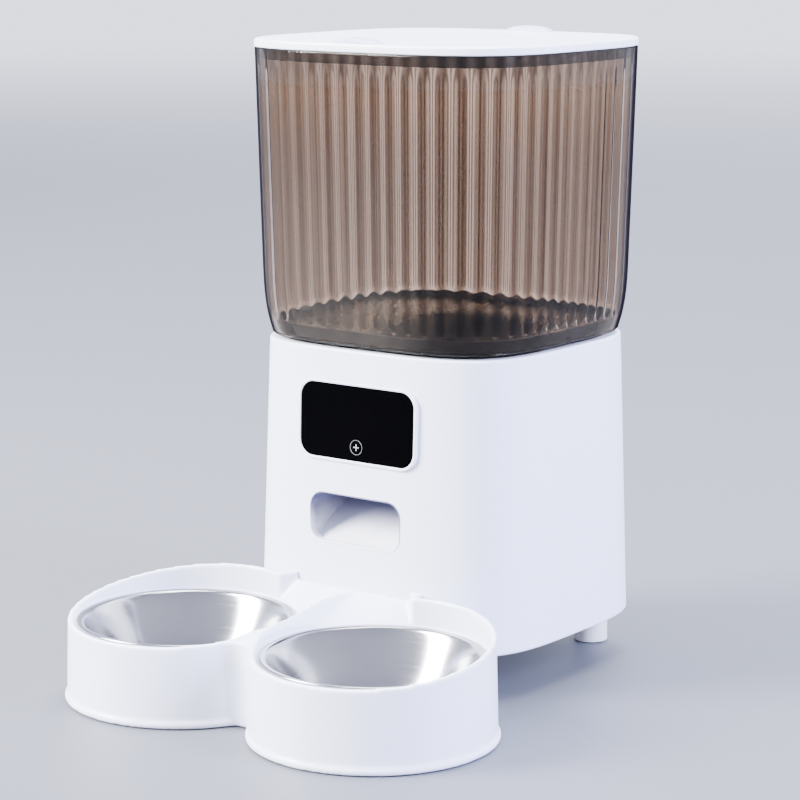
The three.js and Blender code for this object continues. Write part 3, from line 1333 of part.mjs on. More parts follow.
// The food splitter's plan: straight at the base, flaring to the bowls, and narrow where they meet.
function splitterOutline(margin) {
  const narrow = SPLITTER_HALF_WIDTH + margin;
  const wide = narrow + SPLITTER_FLARE;
  const flareY = trayBackY - SPLITTER_FLARE;
  const frontY = cupY - SPLITTER_REACH - margin;
  const right = [
    [SPLITTER_TIP + margin, frontY],
    [wide, cupY],
    [wide, flareY],
    [narrow, trayBackY],
    [narrow, trayBackY + TRAY_OVER + margin],
  ];
  return polygon([...right, ...right.map(([x, y]) => [-x, y]).reverse()]);
}

// What is moulded out of the tray's underside: a ring round each well, and the space under the ramps.
function trayHollows() {
  const inner = ledgeRadius + TRAY_SKIN;
  const outer = wellRadius - HOLLOW_MARGIN;
  const roof = LEDGE_HEIGHT - TRAY_SKIN - HOLLOW_MARGIN;
  const rings = [-1, 1].map((side) => {
    const profile = [
      [inner, -PAST],
      [outer, -PAST],
      [outer, roof],
      [inner, roof],
      [inner, -PAST],
    ];
    return turned(profile, CUP_SIDES, side * cupX, cupY);
  });
  const front = cupY + HOLLOW_FRONT;
  const back = trayBackY - 2 * TRAY_SKIN - PAST;
  const underRamps = prism(
    [
      [front, -PAST],
      [back, -PAST],
      [back, CREST_HEIGHT - 2 * TRAY_SKIN],
      [back - HOLLOW_SLOPE, roof],
      [front, roof],
    ],
    SPLITTER_HALF_WIDTH - TRAY_SKIN,
  );
  const wells = [-1, 1].map((side) => {
    return rod(wellRadius + PAST, -2 * PAST, trayStockTop, side * cupX, cupY, CUP_SIDES);
  });
  return [...rings, shape(underRamps, { cut: wells })];
}

function bowlTray() {
  const high = trayStockTop;
  const fillet = webFillet();
  const webHalf = cupX - fillet.reach;
  const bridgeHalf = SPLITTER_HALF_WIDTH + BRIDGE_MARGIN;
  const bridge = block(-bridgeHalf, bridgeHalf, cupY, trayBackY + TRAY_OVER, TRAY_LIFT, high);
  const web = block(-webHalf, webHalf, fillet.y, cupY + TRAY_OVER, TRAY_LIFT, high);
  const filletCut = rod(fillet.radius, -PAST, high + PAST, 0, fillet.y, FILLET_SIDES);
  const outline = shape(cupOutside(-1), { add: [cupOutside(1), bridge] });
  const webbed = shape(outline, { add: [shape(web, { cut: [filletCut] })] });

  const rimStations = stations(trayFrontY - PAST, trayBackY + TRAY_OVER, RIM_STEPS);
  const underRim = rimStations.map((y) => [y, rimHeightAt(y)]);
  const rimProfile = prism(
    [[rimStations[0], -PAST], [rimStations[RIM_STEPS], -PAST], ...underRim.reverse()],
    cupX + cupFootRadius + CUP_FLANGE + PAST,
  );

  const splitterFloor = RAMP_FOOT - SPLITTER_STOCK;
  const pocket = plate(splitterOutline(0), splitterFloor + PAST, high + PAST);
  const half = SPLITTER_HALF_WIDTH + SPLITTER_FLARE + PAST;
  const ridgeHalf = (CREST_HEIGHT - RAMP_FOOT) / RIDGE_SLOPE;
  const ramp = stations(-half, -ridgeHalf, RAMP_STEPS);
  const ridge = stations(-ridgeHalf, 0, RIDGE_STEPS).slice(1, -1);
  const xs = [...ramp, ...ridge];
  const splitterXs = [...xs, 0, ...xs.map((x) => -x).reverse()];
  const splitterYs = stations(cupY - SPLITTER_REACH - PAST, trayBackY + TRAY_OVER + PAST, SPLITTER_STEPS);
  const splitter = terrain(splitterXs, splitterYs, splitterFloor, splitterHeightAt);
  const splitterTrim = plate(splitterOutline(GAP), splitterFloor - PAST, high + PAST);

  const topped = shape(webbed, { cut: [pocket], keep: [rimProfile] });
  const filled = shape(topped, { add: [shape(splitter, { keep: [splitterTrim] })] });

  const cuts = [baseOutside(TRAY_TO_BASE), ...trayHollows()];
  for (const side of [-1, 1]) {
    const x = side * cupX;
    cuts.push(rod(wellRadius, LEDGE_HEIGHT, high + PAST, x, cupY, CUP_SIDES));
    cuts.push(rod(ledgeRadius, WELL_FLOOR, LEDGE_HEIGHT + PAST, x, cupY, CUP_SIDES));
    for (const y of [cupY - TRAY_PAD_SPREAD, cupY + TRAY_PAD_SPREAD]) {
      cuts.push(rod(TRAY_PAD_RADIUS + GAP, -PAST, TRAY_PAD_HEIGHT + GAP, x, y, SHAFT_SIDES));
    }
  }
  return part("bowl_tray", shape(filled, { cut: cuts }), whitePlastic());
}

function trayPads() {
  return Object.entries(CORNERS).map(([place, [sideX, sideY]]) => {
    const x = sideX * cupX;
    const y = cupY + sideY * TRAY_PAD_SPREAD;
    const geometry = rod(TRAY_PAD_RADIUS, 0, TRAY_PAD_HEIGHT, x, y, SHAFT_SIDES);
    return part(`tray_pad_${place}`, geometry, blackRubber());
  });
}

function bowls() {
  const rimBottom = LEDGE_HEIGHT + GAP;
  const bottom = rimBottom - BOWL_DEPTH;
  const top = rimBottom + BOWL_LIP_HEIGHT;
  const body = ledgeRadius - RUNNING_GAP;
  return [
    ["left", -1],
    ["right", 1],
  ].map(([place, side]) => {
    const profile = [
      [0, bottom],
      [body * BOWL_FLOOR_SHARE, bottom],
      [body * BOWL_CORNER_SHARE, bottom + BOWL_CORNER_HEIGHT],
      [body, rimBottom],
      [BOWL_RIM_RADIUS, rimBottom],
      [BOWL_RIM_RADIUS - BOWL_LIP_CHAMFER, top],
      [body + BOWL_LIP_INNER, top],
      [body * BOWL_CORNER_SHARE - BOWL_WALL, bottom + BOWL_CORNER_HEIGHT + BOWL_CORNER_STEP],
      [body * BOWL_FLOOR_SHARE - BOWL_WALL * BOWL_FLOOR_TUCK, bottom + BOWL_WALL],
      [0, bottom + BOWL_WALL],
    ];
    return part(`bowl_${place}`, turned(profile, CUP_SIDES, side * cupX, cupY), steel());
  });
}

// ---- The feeder ------------------------------------------------------------------------------------

const feeder = new THREE.Group();
feeder.add(baseShell(), bottomCover(), ...coverScrews(), ...feet());
feeder.add(batteryBox(), ...batteryContacts(), batteryDoor());
feeder.add(displayBezel(), displayWindow(), displayModule(), controlBoard());
feeder.add(outletChute(), portionChamber(), chamberCover(), gearPlate(), ...gearPlateScrews());
feeder.add(gearbox(), driveMotor(), turnSwitch(), motorPinion(), pinionShaft());
feeder.add(drivenGear(), rotorShaft(), portionRotor(), stirrer(), powerSocket());
feeder.add(tank(), hopperFunnel(), lid(), lidSeal(), desiccantHolder(), desiccantCap());
feeder.add(bowlTray(), ...trayPads(), ...bowls());

// The middle of the feeder's box in Y: halfway between the tray's front and the back of base or lid.
const backY = Math.max(BASE_HALF_WIDTH, lidHalf) * PLAN_RATIO;
feeder.position.y = -(trayFrontY + backY) / 2;

export default feeder;
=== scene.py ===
from bisect import bisect
from math import atan, atan2, cos, pi, radians, sin, sqrt

import bmesh
import bpy
from mathutils import Matrix, Vector


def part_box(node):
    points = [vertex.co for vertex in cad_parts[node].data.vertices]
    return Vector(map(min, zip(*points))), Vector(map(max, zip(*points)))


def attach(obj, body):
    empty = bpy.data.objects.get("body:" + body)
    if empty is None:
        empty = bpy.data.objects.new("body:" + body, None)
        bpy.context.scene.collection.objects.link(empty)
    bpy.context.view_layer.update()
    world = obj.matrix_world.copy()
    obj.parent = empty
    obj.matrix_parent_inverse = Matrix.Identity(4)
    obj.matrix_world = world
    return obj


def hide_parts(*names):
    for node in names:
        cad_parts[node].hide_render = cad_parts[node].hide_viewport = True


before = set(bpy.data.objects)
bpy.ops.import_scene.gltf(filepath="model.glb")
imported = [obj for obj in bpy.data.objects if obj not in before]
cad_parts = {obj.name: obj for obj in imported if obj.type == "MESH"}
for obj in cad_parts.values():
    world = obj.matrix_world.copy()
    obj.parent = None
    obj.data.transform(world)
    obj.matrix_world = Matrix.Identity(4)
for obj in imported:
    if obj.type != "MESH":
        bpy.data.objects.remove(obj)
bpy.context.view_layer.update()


# ---- Studio ------------------------------------------------------------------------------------------
# The feeder stands on a plain pale floor that fades into a pale sky far behind it, under soft boxes.
# The camera looks down a little at the front and the right side.

shell_low, shell_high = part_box("base_shell")
axis_y = (shell_low.y + shell_high.y) / 2  # the feeder's upright axis stands at x = 0 and this y

camera_data = bpy.data.cameras.new("camera")
camera_data.lens = 120.5
camera_data.sensor_width = 36
camera = bpy.data.objects.new("camera", camera_data)
camera_tilt = 10.65  # degrees down
camera_turn = 36.62  # degrees towards the feeder's right
camera.location = (0.9531, axis_y - 1.3304, 0.4692)
camera.rotation_euler = (radians(90 - camera_tilt), 0, radians(camera_turn))
bpy.context.collection.objects.link(camera)
bpy.context.scene.camera = camera


def soft_box(name, place, aim, width, height, power, colour, shines):
    """A rectangular area light that faces a point. The camera never sees it, but a mirror may."""
    data = bpy.data.lights.new(name, "AREA")
    data.shape = "RECTANGLE"
    data.size = width
    data.size_y = height
    data.energy = power
    data.color = colour
    light = bpy.data.objects.new(name, data)
    light.location = place
    light.rotation_euler = (Vector(aim) - Vector(place)).to_track_quat("-Z", "Y").to_euler()
    light.visible_camera = False
    light.visible_glossy = shines
    bpy.context.collection.objects.link(light)


soft_box("key_light", (-1.7, -1.7, 1.6), (0, 0, 0.2), 1.2, 1.8, 620, (1.0, 1.0, 1.0), True)
soft_box("side_light", (2.4, 0.2, 1.2), (0, 0, 0.2), 0.9, 1.8, 330, (0.58, 0.64, 1.0), False)
soft_box("top_light", (0.1, 0.4, 2.4), (0.1, 0.4, 0), 1.6, 1.6, 190, (1.0, 1.0, 1.0), True)
soft_box("far_light", (-1.2, 3.6, 3.0), (-1.2, 3.6, 0), 3.0, 3.0, 700, (0.92, 0.94, 1.0), False)

sky = bpy.data.worlds.new("sky")
sky.use_nodes = True
sky_tree = sky.node_tree
sky_place = sky_tree.nodes.new("ShaderNodeTexCoord")
sky_height = sky_tree.nodes.new("ShaderNodeSeparateXYZ")
sky_ramp = sky_tree.nodes.new("ShaderNodeValToRGB")
sky_ramp.color_ramp.elements[0].position = 0.0
sky_ramp.color_ramp.elements[0].color = (0.74, 0.77, 0.92, 1)
sky_ramp.color_ramp.elements[1].position = 0.7
sky_ramp.color_ramp.elements[1].color = (0.40, 0.42, 0.54, 1)
sky_tree.links.new(sky_place.outputs["Generated"], sky_height.inputs[0])
sky_tree.links.new(sky_height.outputs["Z"], sky_ramp.inputs[0])
sky_tree.links.new(sky_ramp.outputs[0], sky_tree.nodes["Background"].inputs["Color"])
sky_tree.nodes["Background"].inputs["Strength"].default_value = 2.7
bpy.context.scene.world = sky


class Value:
    """A shader socket. An expression with it adds the Math nodes that work it out."""

    def __init__(self, finish, socket):
        self.finish = finish
        self.socket = socket

    def math(self, operation, first, second):
        return self.finish.node("ShaderNodeMath", {"operation": operation}, {0: first, 1: second})

    def __add__(self, other):
        return self.math("ADD", self, other)

    def __radd__(self, other):
        return self.math("ADD", other, self)

    def __sub__(self, other):
        return self.math("SUBTRACT", self, other)

    def __rsub__(self, other):
        return self.math("SUBTRACT", other, self)

    def __mul__(self, other):
        return self.math("MULTIPLY", self, other)

    def __rmul__(self, other):
        return self.math("MULTIPLY", other, self)


class Finish:
    """A material with one Principled shader, built up from its object's own coordinates."""

    def __init__(self, name, **constants):
        self.material = bpy.data.materials.new(name)
        self.material.use_nodes = True
        self.tree = self.material.node_tree
        self.shader = self.tree.nodes["Principled BSDF"]
        for socket, value in constants.items():
            self.shader.inputs[socket.replace("_", " ")].default_value = value
        self.place = self.node("ShaderNodeTexCoord", {}, {}, "Object")

    def node(self, kind, settings, sockets, output=0):
        """Adds a node: its settings first, then a value or a link for each of its sockets."""
        node = self.tree.nodes.new(kind)
        for name, setting in settings.items():
            setattr(node, name, setting)
        for name, value in sockets.items():
            if isinstance(value, Value):
                self.tree.links.new(value.socket, node.inputs[name])
            else:
                node.inputs[name].default_value = value
        return Value(self, node.outputs[output])

    def feed(self, socket, value):
        self.tree.links.new(value.socket, self.shader.inputs[socket])

    def noise(self, scale, detail=2.0, place=None):
        """Soft random spots, about 0.5 on average; the scale is in spots a metre."""
        sockets = {"Vector": place or self.place, "Scale": scale, "Detail": detail}
        return self.node("ShaderNodeTexNoise", {}, sockets)

    def mix(self, share, first, second):
        """A colour between two colours."""
        sockets = {0: share, 6: first, 7: second}
        return self.node("ShaderNodeMix", {"data_type": "RGBA"}, sockets, 2)

    def edge(self, share, colour):
        """Covers the finish with a dark one where the share is 1, as where a clear wall is seen end on."""
        dark = self.tree.nodes.new("ShaderNodeBsdfPrincipled")
        dark.inputs["Base Color"].default_value = colour
        dark.inputs["Roughness"].default_value = 0.4
        dark.inputs["Specular IOR Level"].default_value = 0.0
        blend = self.tree.nodes.new("ShaderNodeMixShader")
        self.tree.links.new(share.socket, blend.inputs[0])
        self.tree.links.new(self.shader.outputs[0], blend.inputs[1])
        self.tree.links.new(dark.outputs[0], blend.inputs[2])
        self.tree.links.new(blend.outputs[0], self.tree.nodes["Material Output"].inputs["Surface"])

    def bump(self, height, depth):
        """Raises the surface by depth metres where the height is 1."""
        sockets = {"Height": height, "Distance": depth, "Strength": 1.0}
        self.feed("Normal", self.node("ShaderNodeBump", {}, sockets))


def moulded(name, light, dark, roughness, grain_scale, grain_depth, **constants):
    """Moulded plastic: two close tones in slow clouds, an uneven gloss and a fine spark-eroded grain."""
    finish = Finish(name, **constants)
    clouds = finish.noise(9.0, 3.0)
    finish.feed("Base Color", finish.mix(clouds, (*dark, 1), (*light, 1)))
    finish.feed("Roughness", roughness + (finish.noise(45.0, 3.0) - 0.5) * 0.12)
    finish.bump(finish.noise(grain_scale), grain_depth)
    return finish.material


def make_piece(bm, name, material, body, crease=38):
    """Turns a bmesh into a piece that rides on a body, smooth apart from edges sharper than the crease."""
    bmesh.ops.remove_doubles(bm, verts=bm.verts, dist=1e-6)
    bmesh.ops.recalc_face_normals(bm, faces=bm.faces)
    for face in bm.faces:
        face.smooth = True
    for edge in bm.edges:
        edge.smooth = not edge.is_manifold or edge.calc_face_angle() < radians(crease)
    mesh = bpy.data.meshes.new(name)
    bm.to_mesh(mesh)
    bm.free()
    mesh.materials.append(material)
    piece = bpy.data.objects.new(name, mesh)
    bpy.context.collection.objects.link(piece)
    if body:
        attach(piece, body)
    return piece


floor_bm = bmesh.new()
bmesh.ops.create_grid(floor_bm, x_segments=4, y_segments=4, size=30)
floor_finish = Finish("floor_paint", Roughness=0.5)
floor_dark = (0.105, 0.110, 0.130, 1)
floor_light = (0.116, 0.122, 0.142, 1)
floor_finish.feed("Base Color", floor_finish.mix(floor_finish.noise(1.5), floor_dark, floor_light))
fade_start = 2.6
fade_end = 7.5
reach = floor_finish.node("ShaderNodeVectorMath", {"operation": "LENGTH"}, {0: floor_finish.place}, "Value")
floor_finish.feed("Alpha", floor_finish.node(
    "ShaderNodeMapRange", {"interpolation_type": "SMOOTHSTEP"},
    {0: reach, 1: fade_start, 2: fade_end, 3: 1.0, 4: 0.0}))
floor = make_piece(floor_bm, "studio_floor", floor_finish.material, None)


# ---- Base housing ------------------------------------------------------------------------------------
# The housing is one deep injection moulding in satin white ABS with a soft square plan. Its sides lean
# in towards the top, where a recess takes the tank, and the front has a window and an outlet slot.

PLAN_EXPONENT = 3.75
PLAN_RATIO = 0.97  # depth over width
PLAN_STEPS = 3600


def even_plan(count):
    """Points spaced evenly round the feeder's plan, for a half width of 1, from +X anticlockwise."""
    power = 2 / PLAN_EXPONENT
    fine = []
    for step in range(PLAN_STEPS + 1):
        angle = 2 * pi * step / PLAN_STEPS
        x = abs(cos(angle)) ** power * (1 if cos(angle) >= 0 else -1)
        y = abs(sin(angle)) ** power * (1 if sin(angle) >= 0 else -1)
        fine.append(Vector((x, y * PLAN_RATIO, 0)))
    run = [0.0]
    for a, b in zip(fine, fine[1:]):
        run.append(run[-1] + (b - a).length)
    points = []
    step = 0
    for number in range(count):
        target = run[-1] * number / count
        while run[step + 1] < target:
            step += 1
        share = (target - run[step]) / (run[step + 1] - run[step])
        points.append(fine[step].lerp(fine[step + 1], share))
    return points


PLAN = even_plan(240)


def plan_ring(half, z):
    """A ring of the housing's plan, round the feeder's axis."""
    return [Vector((p.x * half, p.y * half + axis_y, z)) for p in PLAN]


def round_ring(radius, z):
    """A circle with as many points as the plan, each in the direction of its partner."""
    return [Vector((p.x, p.y, 0)).normalized() * radius + Vector((0, axis_y, z)) for p in PLAN]


def ring_edges(bm, ring):
    return [bm.edges.get((vert, ring[i - 1])) for i, vert in enumerate(ring)]


def loft(bm, rings, is_loop=False):
    """Extrudes a circle from ring to ring. A loop joins its last ring to the first; others are capped."""
    first = bmesh.ops.create_circle(bm, segments=len(rings[0]), radius=1)["verts"]
    for vert, place in zip(first, rings[0]):
        vert.co = place
    ring = first
    for places in rings[1:]:
        grown = bmesh.ops.extrude_edge_only(bm, edges=ring_edges(bm, ring))["geom"]
        new = {item for item in grown if isinstance(item, bmesh.types.BMVert)}
        ring = [next(e.other_vert(v) for e in v.link_edges if e.other_vert(v) in new) for v in ring]
        for vert, place in zip(ring, places):
            vert.co = place
    ends = ring_edges(bm, first) + ring_edges(bm, ring)
    if is_loop:
        bmesh.ops.bridge_loops(bm, edges=ends)
    else:
        bmesh.ops.holes_fill(bm, edges=ends, sides=0)


def arc(centre_half, centre_z, radius, start, end, steps):
    """Half widths and heights along a rounding, with its angles in degrees from straight out."""
    angles = [radians(start + (end - start) * i / steps) for i in range(steps + 1)]
    return [(centre_half + radius * cos(a), centre_z + radius * sin(a)) for a in angles]


def loose_piece(bm, name):
    """A piece for a join or a cut, that rides on nothing."""
    return make_piece(bm, name, None, None)


def combine(target, tool, operation):
    """Joins the tool to the target, or cuts with it, and removes the tool."""
    modifier = target.modifiers.new("combine", "BOOLEAN")
    modifier.operation = operation
    modifier.solver = "EXACT"
    modifier.object = tool
    settle(target)
    bpy.data.objects.remove(tool)


def settle(piece):
    """Turns a piece's modifiers into its mesh."""
    bpy.context.view_layer.update()
    seen = piece.evaluated_get(bpy.context.evaluated_depsgraph_get())
    mesh = bpy.data.meshes.new_from_object(seen)
    piece.modifiers.clear()
    piece.data = mesh


base_bottom = shell_low.z
base_top = shell_high.z
base_half = shell_high.x
base_top_half = base_half - 0.0053
deck_half = base_top_half - 0.0076
deck_floor = base_top - 0.014
deck_thickness = 0.0025
deck_hole_radius = 0.052
base_wall = 0.0026
base_levels = 30
base_lean = atan((base_half - base_top_half) * PLAN_RATIO / (base_top - base_bottom))


def base_half_at(z):
    return base_half - (base_half - base_top_half) * (z - base_bottom) / (base_top - base_bottom)


def on_front(bm, z):
    """Stands a flat shape up on the housing's front: X stays, Y goes up it, Z comes out of it."""
    front = Vector((0, axis_y - base_half_at(z) * PLAN_RATIO, z))
    stand = Matrix.Translation(front) @ Matrix.Rotation(pi / 2 - base_lean, 4, "X")
    bmesh.ops.transform(bm, matrix=stand, verts=bm.verts)


def rounded_plate(width, height, corner, low, high, steps=14):
    """A flat plate with round corners, from low to high along Z."""
    bm = bmesh.new()
    bmesh.ops.create_grid(bm, x_segments=1, y_segments=1, size=0.5)
    bmesh.ops.scale(bm, vec=(width, height, 1), verts=bm.verts)
    bmesh.ops.bevel(bm, geom=bm.verts[:], offset=corner, offset_type="OFFSET", affect="VERTICES",
                    segments=steps, profile=0.5, material=-1, clamp_overlap=False)
    bmesh.ops.translate(bm, vec=(0, 0, low), verts=bm.verts)
    grown = bmesh.ops.extrude_face_region(bm, geom=bm.faces[:])["geom"]
    top = [item for item in grown if isinstance(item, bmesh.types.BMVert)]
    bmesh.ops.translate(bm, vec=(0, 0, high - low), verts=top)
    bmesh.ops.recalc_face_normals(bm, faces=bm.faces)
    return bm


def rounded_rings(centre_half, centre_z, radius, start, end, steps):
    """Rings of the housing's plan along a rounding."""
    return [plan_ring(half, z) for half, z in arc(centre_half, centre_z, radius, start, end, steps)]


edge = 0.0016
deck_edge = 0.0008
housing_rings = rounded_rings(base_half - edge, base_bottom + edge, edge, -90, 0, 4)
for number in range(1, base_levels):
    level = base_bottom + edge + (base_top - base_bottom - 2 * edge) * number / base_levels
    housing_rings.append(plan_ring(base_half_at(level), level))
housing_rings += [
    *rounded_rings(base_top_half - edge, base_top - edge, edge, 0, 90, 5),
    *rounded_rings(deck_half + deck_edge, base_top - deck_edge, deck_edge, 90, 180, 3),
    plan_ring(deck_half, deck_floor),
    round_ring(deck_hole_radius, deck_floor),
    round_ring(deck_hole_radius, deck_floor - deck_thickness),
    plan_ring(base_half_at(deck_floor) - base_wall, deck_floor - deck_thickness),
    plan_ring(base_half - base_wall, base_bottom),
]
housing_bm = bmesh.new()
loft(housing_bm, housing_rings, is_loop=True)

white_abs = moulded("white_abs", (0.79, 0.81, 0.94), (0.76, 0.78, 0.915), 0.34, 1500.0, 0.000012,
                    Coat_Weight=0.12, Coat_Roughness=0.18)
housing = make_piece(housing_bm, "base_housing", white_abs, None)

window_low, window_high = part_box("display_window")
window_width = window_high.x - window_low.x + 0.0006
window_height = (window_high.z - window_low.z) / cos(base_lean)
window_z = (window_low.z + window_high.z) / 2
window_corner = 0.0095
bezel_width = 0.0022
window_x = 0.0012
opening_back = -0.012  # from the housing's front
opening_front = 0.008
opening_bm = rounded_plate(window_width + 2 * bezel_width, window_height + 2 * bezel_width,
                           window_corner + bezel_width, opening_back, opening_front)
bmesh.ops.translate(opening_bm, vec=(window_x, 0, 0), verts=opening_bm.verts)
on_front(opening_bm, window_z)
combine(housing, loose_piece(opening_bm, "window_opening"), "DIFFERENCE")

slot_width = 0.066
slot_height = 0.029
slot_corner = 0.009
slot_z = base_top - 0.103
lip_width = 0.0010
opening_bm = rounded_plate(slot_width + 2 * lip_width, slot_height + 2 * lip_width, slot_corner + lip_width,
                           opening_back, opening_front)
on_front(opening_bm, slot_z)
combine(housing, loose_piece(opening_bm, "slot_opening"), "DIFFERENCE")

socket_low, socket_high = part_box("power_socket")
socket_place = Vector((0, socket_high.y, (socket_low.z + socket_high.z) / 2))
socket_radius = 0.0053
opening_bm = bmesh.new()
bmesh.ops.create_cone(opening_bm, cap_ends=True, segments=48, radius1=socket_radius, radius2=socket_radius,
                      depth=0.03, matrix=Matrix.Translation(socket_place) @ Matrix.Rotation(pi / 2, 4, "X"))
combine(housing, loose_piece(opening_bm, "socket_opening"), "DIFFERENCE")
for polygon in housing.data.polygons:
    polygon.use_smooth = True
housing.data.set_sharp_from_angle(angle=radians(30))
weighted = housing.modifiers.new("flat_faces", "WEIGHTED_NORMAL")
weighted.keep_sharp = True
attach(housing, "base")
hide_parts("base_shell")


# ---- Underside ---------------------------------------------------------------------------------------
# A matt cover plate closes the housing from below on four screws. Three large cells go into a black box
# behind a snap-in door, and plated brass strips join them.

cover_grey = moulded("cover_grey", (0.66, 0.65, 0.68), (0.62, 0.61, 0.64), 0.52, 1900.0, 0.00002)
inner_black = moulded("inner_black", (0.022, 0.022, 0.025), (0.015, 0.015, 0.018), 0.45, 1700.0, 0.00002)


def turned_metal(name, light, dark, roughness, line_scale):
    """Metal with fine lines that run round the upright axis, and slow stains."""
    finish = Finish(name, Metallic=1.0)
    stains = finish.noise(60.0, 3.0)
    lines = finish.noise(line_scale, 1.0, finish.node(
        "ShaderNodeMapping", {}, {"Vector": finish.place, "Scale": (0.05, 0.05, 1.0)}))
    finish.feed("Base Color", finish.mix(stains, (*dark, 1), (*light, 1)))
    finish.feed("Roughness", roughness + (stains - 0.5) * 0.15 + (lines - 0.5) * 0.2)
    finish.bump(lines, 0.000008)
    return finish.material


plated_steel = turned_metal("plated_steel", (0.66, 0.67, 0.70), (0.55, 0.56, 0.60), 0.28, 2500.0)
plated_brass = turned_metal("plated_brass", (0.78, 0.60, 0.30), (0.66, 0.48, 0.22), 0.28, 2200.0)


def repaint(node, material):
    """Gives a CAD node a better material in each of its slots."""
    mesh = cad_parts[node].data
    if not mesh.materials:
        mesh.materials.append(material)
    for number in range(len(mesh.materials)):
        mesh.materials[number] = material


CORNERS = {"front_left": (-1, -1), "front_right": (1, -1), "rear_left": (-1, 1), "rear_right": (1, 1)}
repaint("bottom_cover", cover_grey)
repaint("battery_door", cover_grey)
repaint("battery_box", inner_black)
repaint("battery_contact_front", plated_brass)
repaint("battery_contact_rear", plated_brass)
for corner in CORNERS:
    repaint("cover_screw_" + corner, plated_steel)


# ---- Feet --------------------------------------------------------------------------------------------
# Four short round feet are moulded in off-white plastic. Each has a thin black rubber pad glued under
# it, a little smaller than the foot.

foot_white = moulded("foot_white", (0.74, 0.73, 0.72), (0.70, 0.69, 0.68), 0.42, 1500.0, 0.00002)
pad_rubber = moulded("pad_rubber", (0.020, 0.020, 0.022), (0.012, 0.012, 0.014), 0.75, 2600.0, 0.00004)


def spun(profile, x, y, steps=96):
    """Turns a profile of radii and heights round an upright axis."""
    bm = bmesh.new()
    verts = [bm.verts.new((radius, 0, z)) for radius, z in profile]
    for a, b in zip(verts, verts[1:]):
        bm.edges.new((a, b))
    bmesh.ops.spin(bm, geom=bm.verts[:] + bm.edges[:], cent=(0, 0, 0), axis=(0, 0, 1), angle=2 * pi,
                   steps=steps, use_merge=True)
    bmesh.ops.translate(bm, vec=(x, y, 0), verts=bm.verts)
    return bm


foot_radius = 0.0105
foot_edge = 0.0004
foot_lift = 0.0006  # of its skirt off the table
pad_radius = 0.0092
pad_room = pad_radius + 0.0001
pad_edge = 0.0005
for corner in CORNERS:
    foot_low, foot_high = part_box("foot_" + corner)
    pad_low, pad_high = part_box("foot_pad_" + corner)
    foot_x = (foot_low.x + foot_high.x) / 2
    foot_y = (foot_low.y + foot_high.y) / 2
    foot_skirt = pad_low.z + foot_lift
    foot_profile = [(0, foot_low.z), (pad_room, foot_low.z), (pad_room, foot_skirt),
                    *arc(foot_radius - foot_edge, foot_skirt + foot_edge, foot_edge, -90, 0, 4),
                    (foot_radius, foot_high.z), (0, foot_high.z)]
    foot = make_piece(spun(foot_profile, foot_x, foot_y), "round_foot_" + corner, foot_white, "base")
    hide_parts("foot_" + corner)
    pad_profile = [(0, pad_low.z), *arc(pad_radius - pad_edge, pad_low.z + pad_edge, pad_edge, -90, 0, 3),
                   (pad_radius, pad_high.z), (0, pad_high.z)]
    pad = make_piece(spun(pad_profile, foot_x, foot_y), "grip_pad_" + corner, pad_rubber, "base")
    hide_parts("foot_pad_" + corner)


# ---- Clock window ------------------------------------------------------------------------------------
# A white bezel is pressed into the front and holds a glossy black window. A touch key is printed on it:
# a ring round a plus sign, whose grey ink glows faintly as painted light. The display and its board are
# behind it.

bezel_proud = 0.0009
bezel_back = -0.004
bezel_edge = 0.0006
bezel_gap = 0.0002


def framed(width, height, corner, border, low, high, rounding):
    """A frame with round corners and a softly rounded front edge, open in the middle."""
    bm = bmesh.new()
    bmesh.ops.create_grid(bm, x_segments=1, y_segments=1, size=0.5)
    bmesh.ops.scale(bm, vec=(width + 2 * border, height + 2 * border, 1), verts=bm.verts)
    bmesh.ops.bevel(bm, geom=bm.verts[:], offset=corner + border, offset_type="OFFSET", affect="VERTICES",
                    segments=20, profile=0.5, material=-1, clamp_overlap=False)
    middle = bm.faces[:]
    bmesh.ops.inset_region(bm, faces=middle, thickness=border, depth=0, use_even_offset=True,
                           use_boundary=True)
    bmesh.ops.delete(bm, geom=middle, context="FACES_ONLY")
    bmesh.ops.translate(bm, vec=(0, 0, low), verts=bm.verts)
    grown = bmesh.ops.extrude_face_region(bm, geom=bm.faces[:])["geom"]
    top = {item for item in grown if isinstance(item, bmesh.types.BMVert)}
    bmesh.ops.translate(bm, vec=(0, 0, high - low), verts=list(top))
    bmesh.ops.recalc_face_normals(bm, faces=bm.faces)
    rim = [e for e in bm.edges if e.verts[0] in top and e.verts[1] in top
           and e.calc_face_angle(0) > radians(60)]
    bmesh.ops.bevel(bm, geom=rim, offset=rounding, offset_type="OFFSET", affect="EDGES", segments=4,
                    profile=0.5, material=-1, clamp_overlap=True)
    return bm


bezel_bm = framed(window_width, window_height, window_corner, bezel_width - bezel_gap, bezel_back,
                  bezel_proud, bezel_edge)
bmesh.ops.translate(bezel_bm, vec=(window_x, 0, 0), verts=bezel_bm.verts)
on_front(bezel_bm, window_z)
bezel = make_piece(bezel_bm, "window_bezel", white_abs, "base", crease=50)
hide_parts("display_bezel")

window_front = bezel_proud - 0.0003
window_overlap = 0.0002
window_thickness = 0.002
window_bm = rounded_plate(window_width + window_overlap, window_height + window_overlap, window_corner,
                          window_front - window_thickness, window_front, steps=20)
bmesh.ops.translate(window_bm, vec=(window_x, 0, 0), verts=window_bm.verts)
on_front(window_bm, window_z)
gloss_black = Finish("gloss_black", Specular_IOR_Level=0.006)
smudges = gloss_black.noise(30.0, 4.0)
clean_black = (0.0003, 0.0003, 0.0005, 1)
smudged_black = (0.0006, 0.0006, 0.0009, 1)
gloss_black.feed("Base Color", gloss_black.mix(smudges, clean_black, smudged_black))
gloss_black.feed("Roughness", 0.04 + smudges * 0.05)
window = make_piece(window_bm, "black_window", gloss_black.material, "base")
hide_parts("display_window")

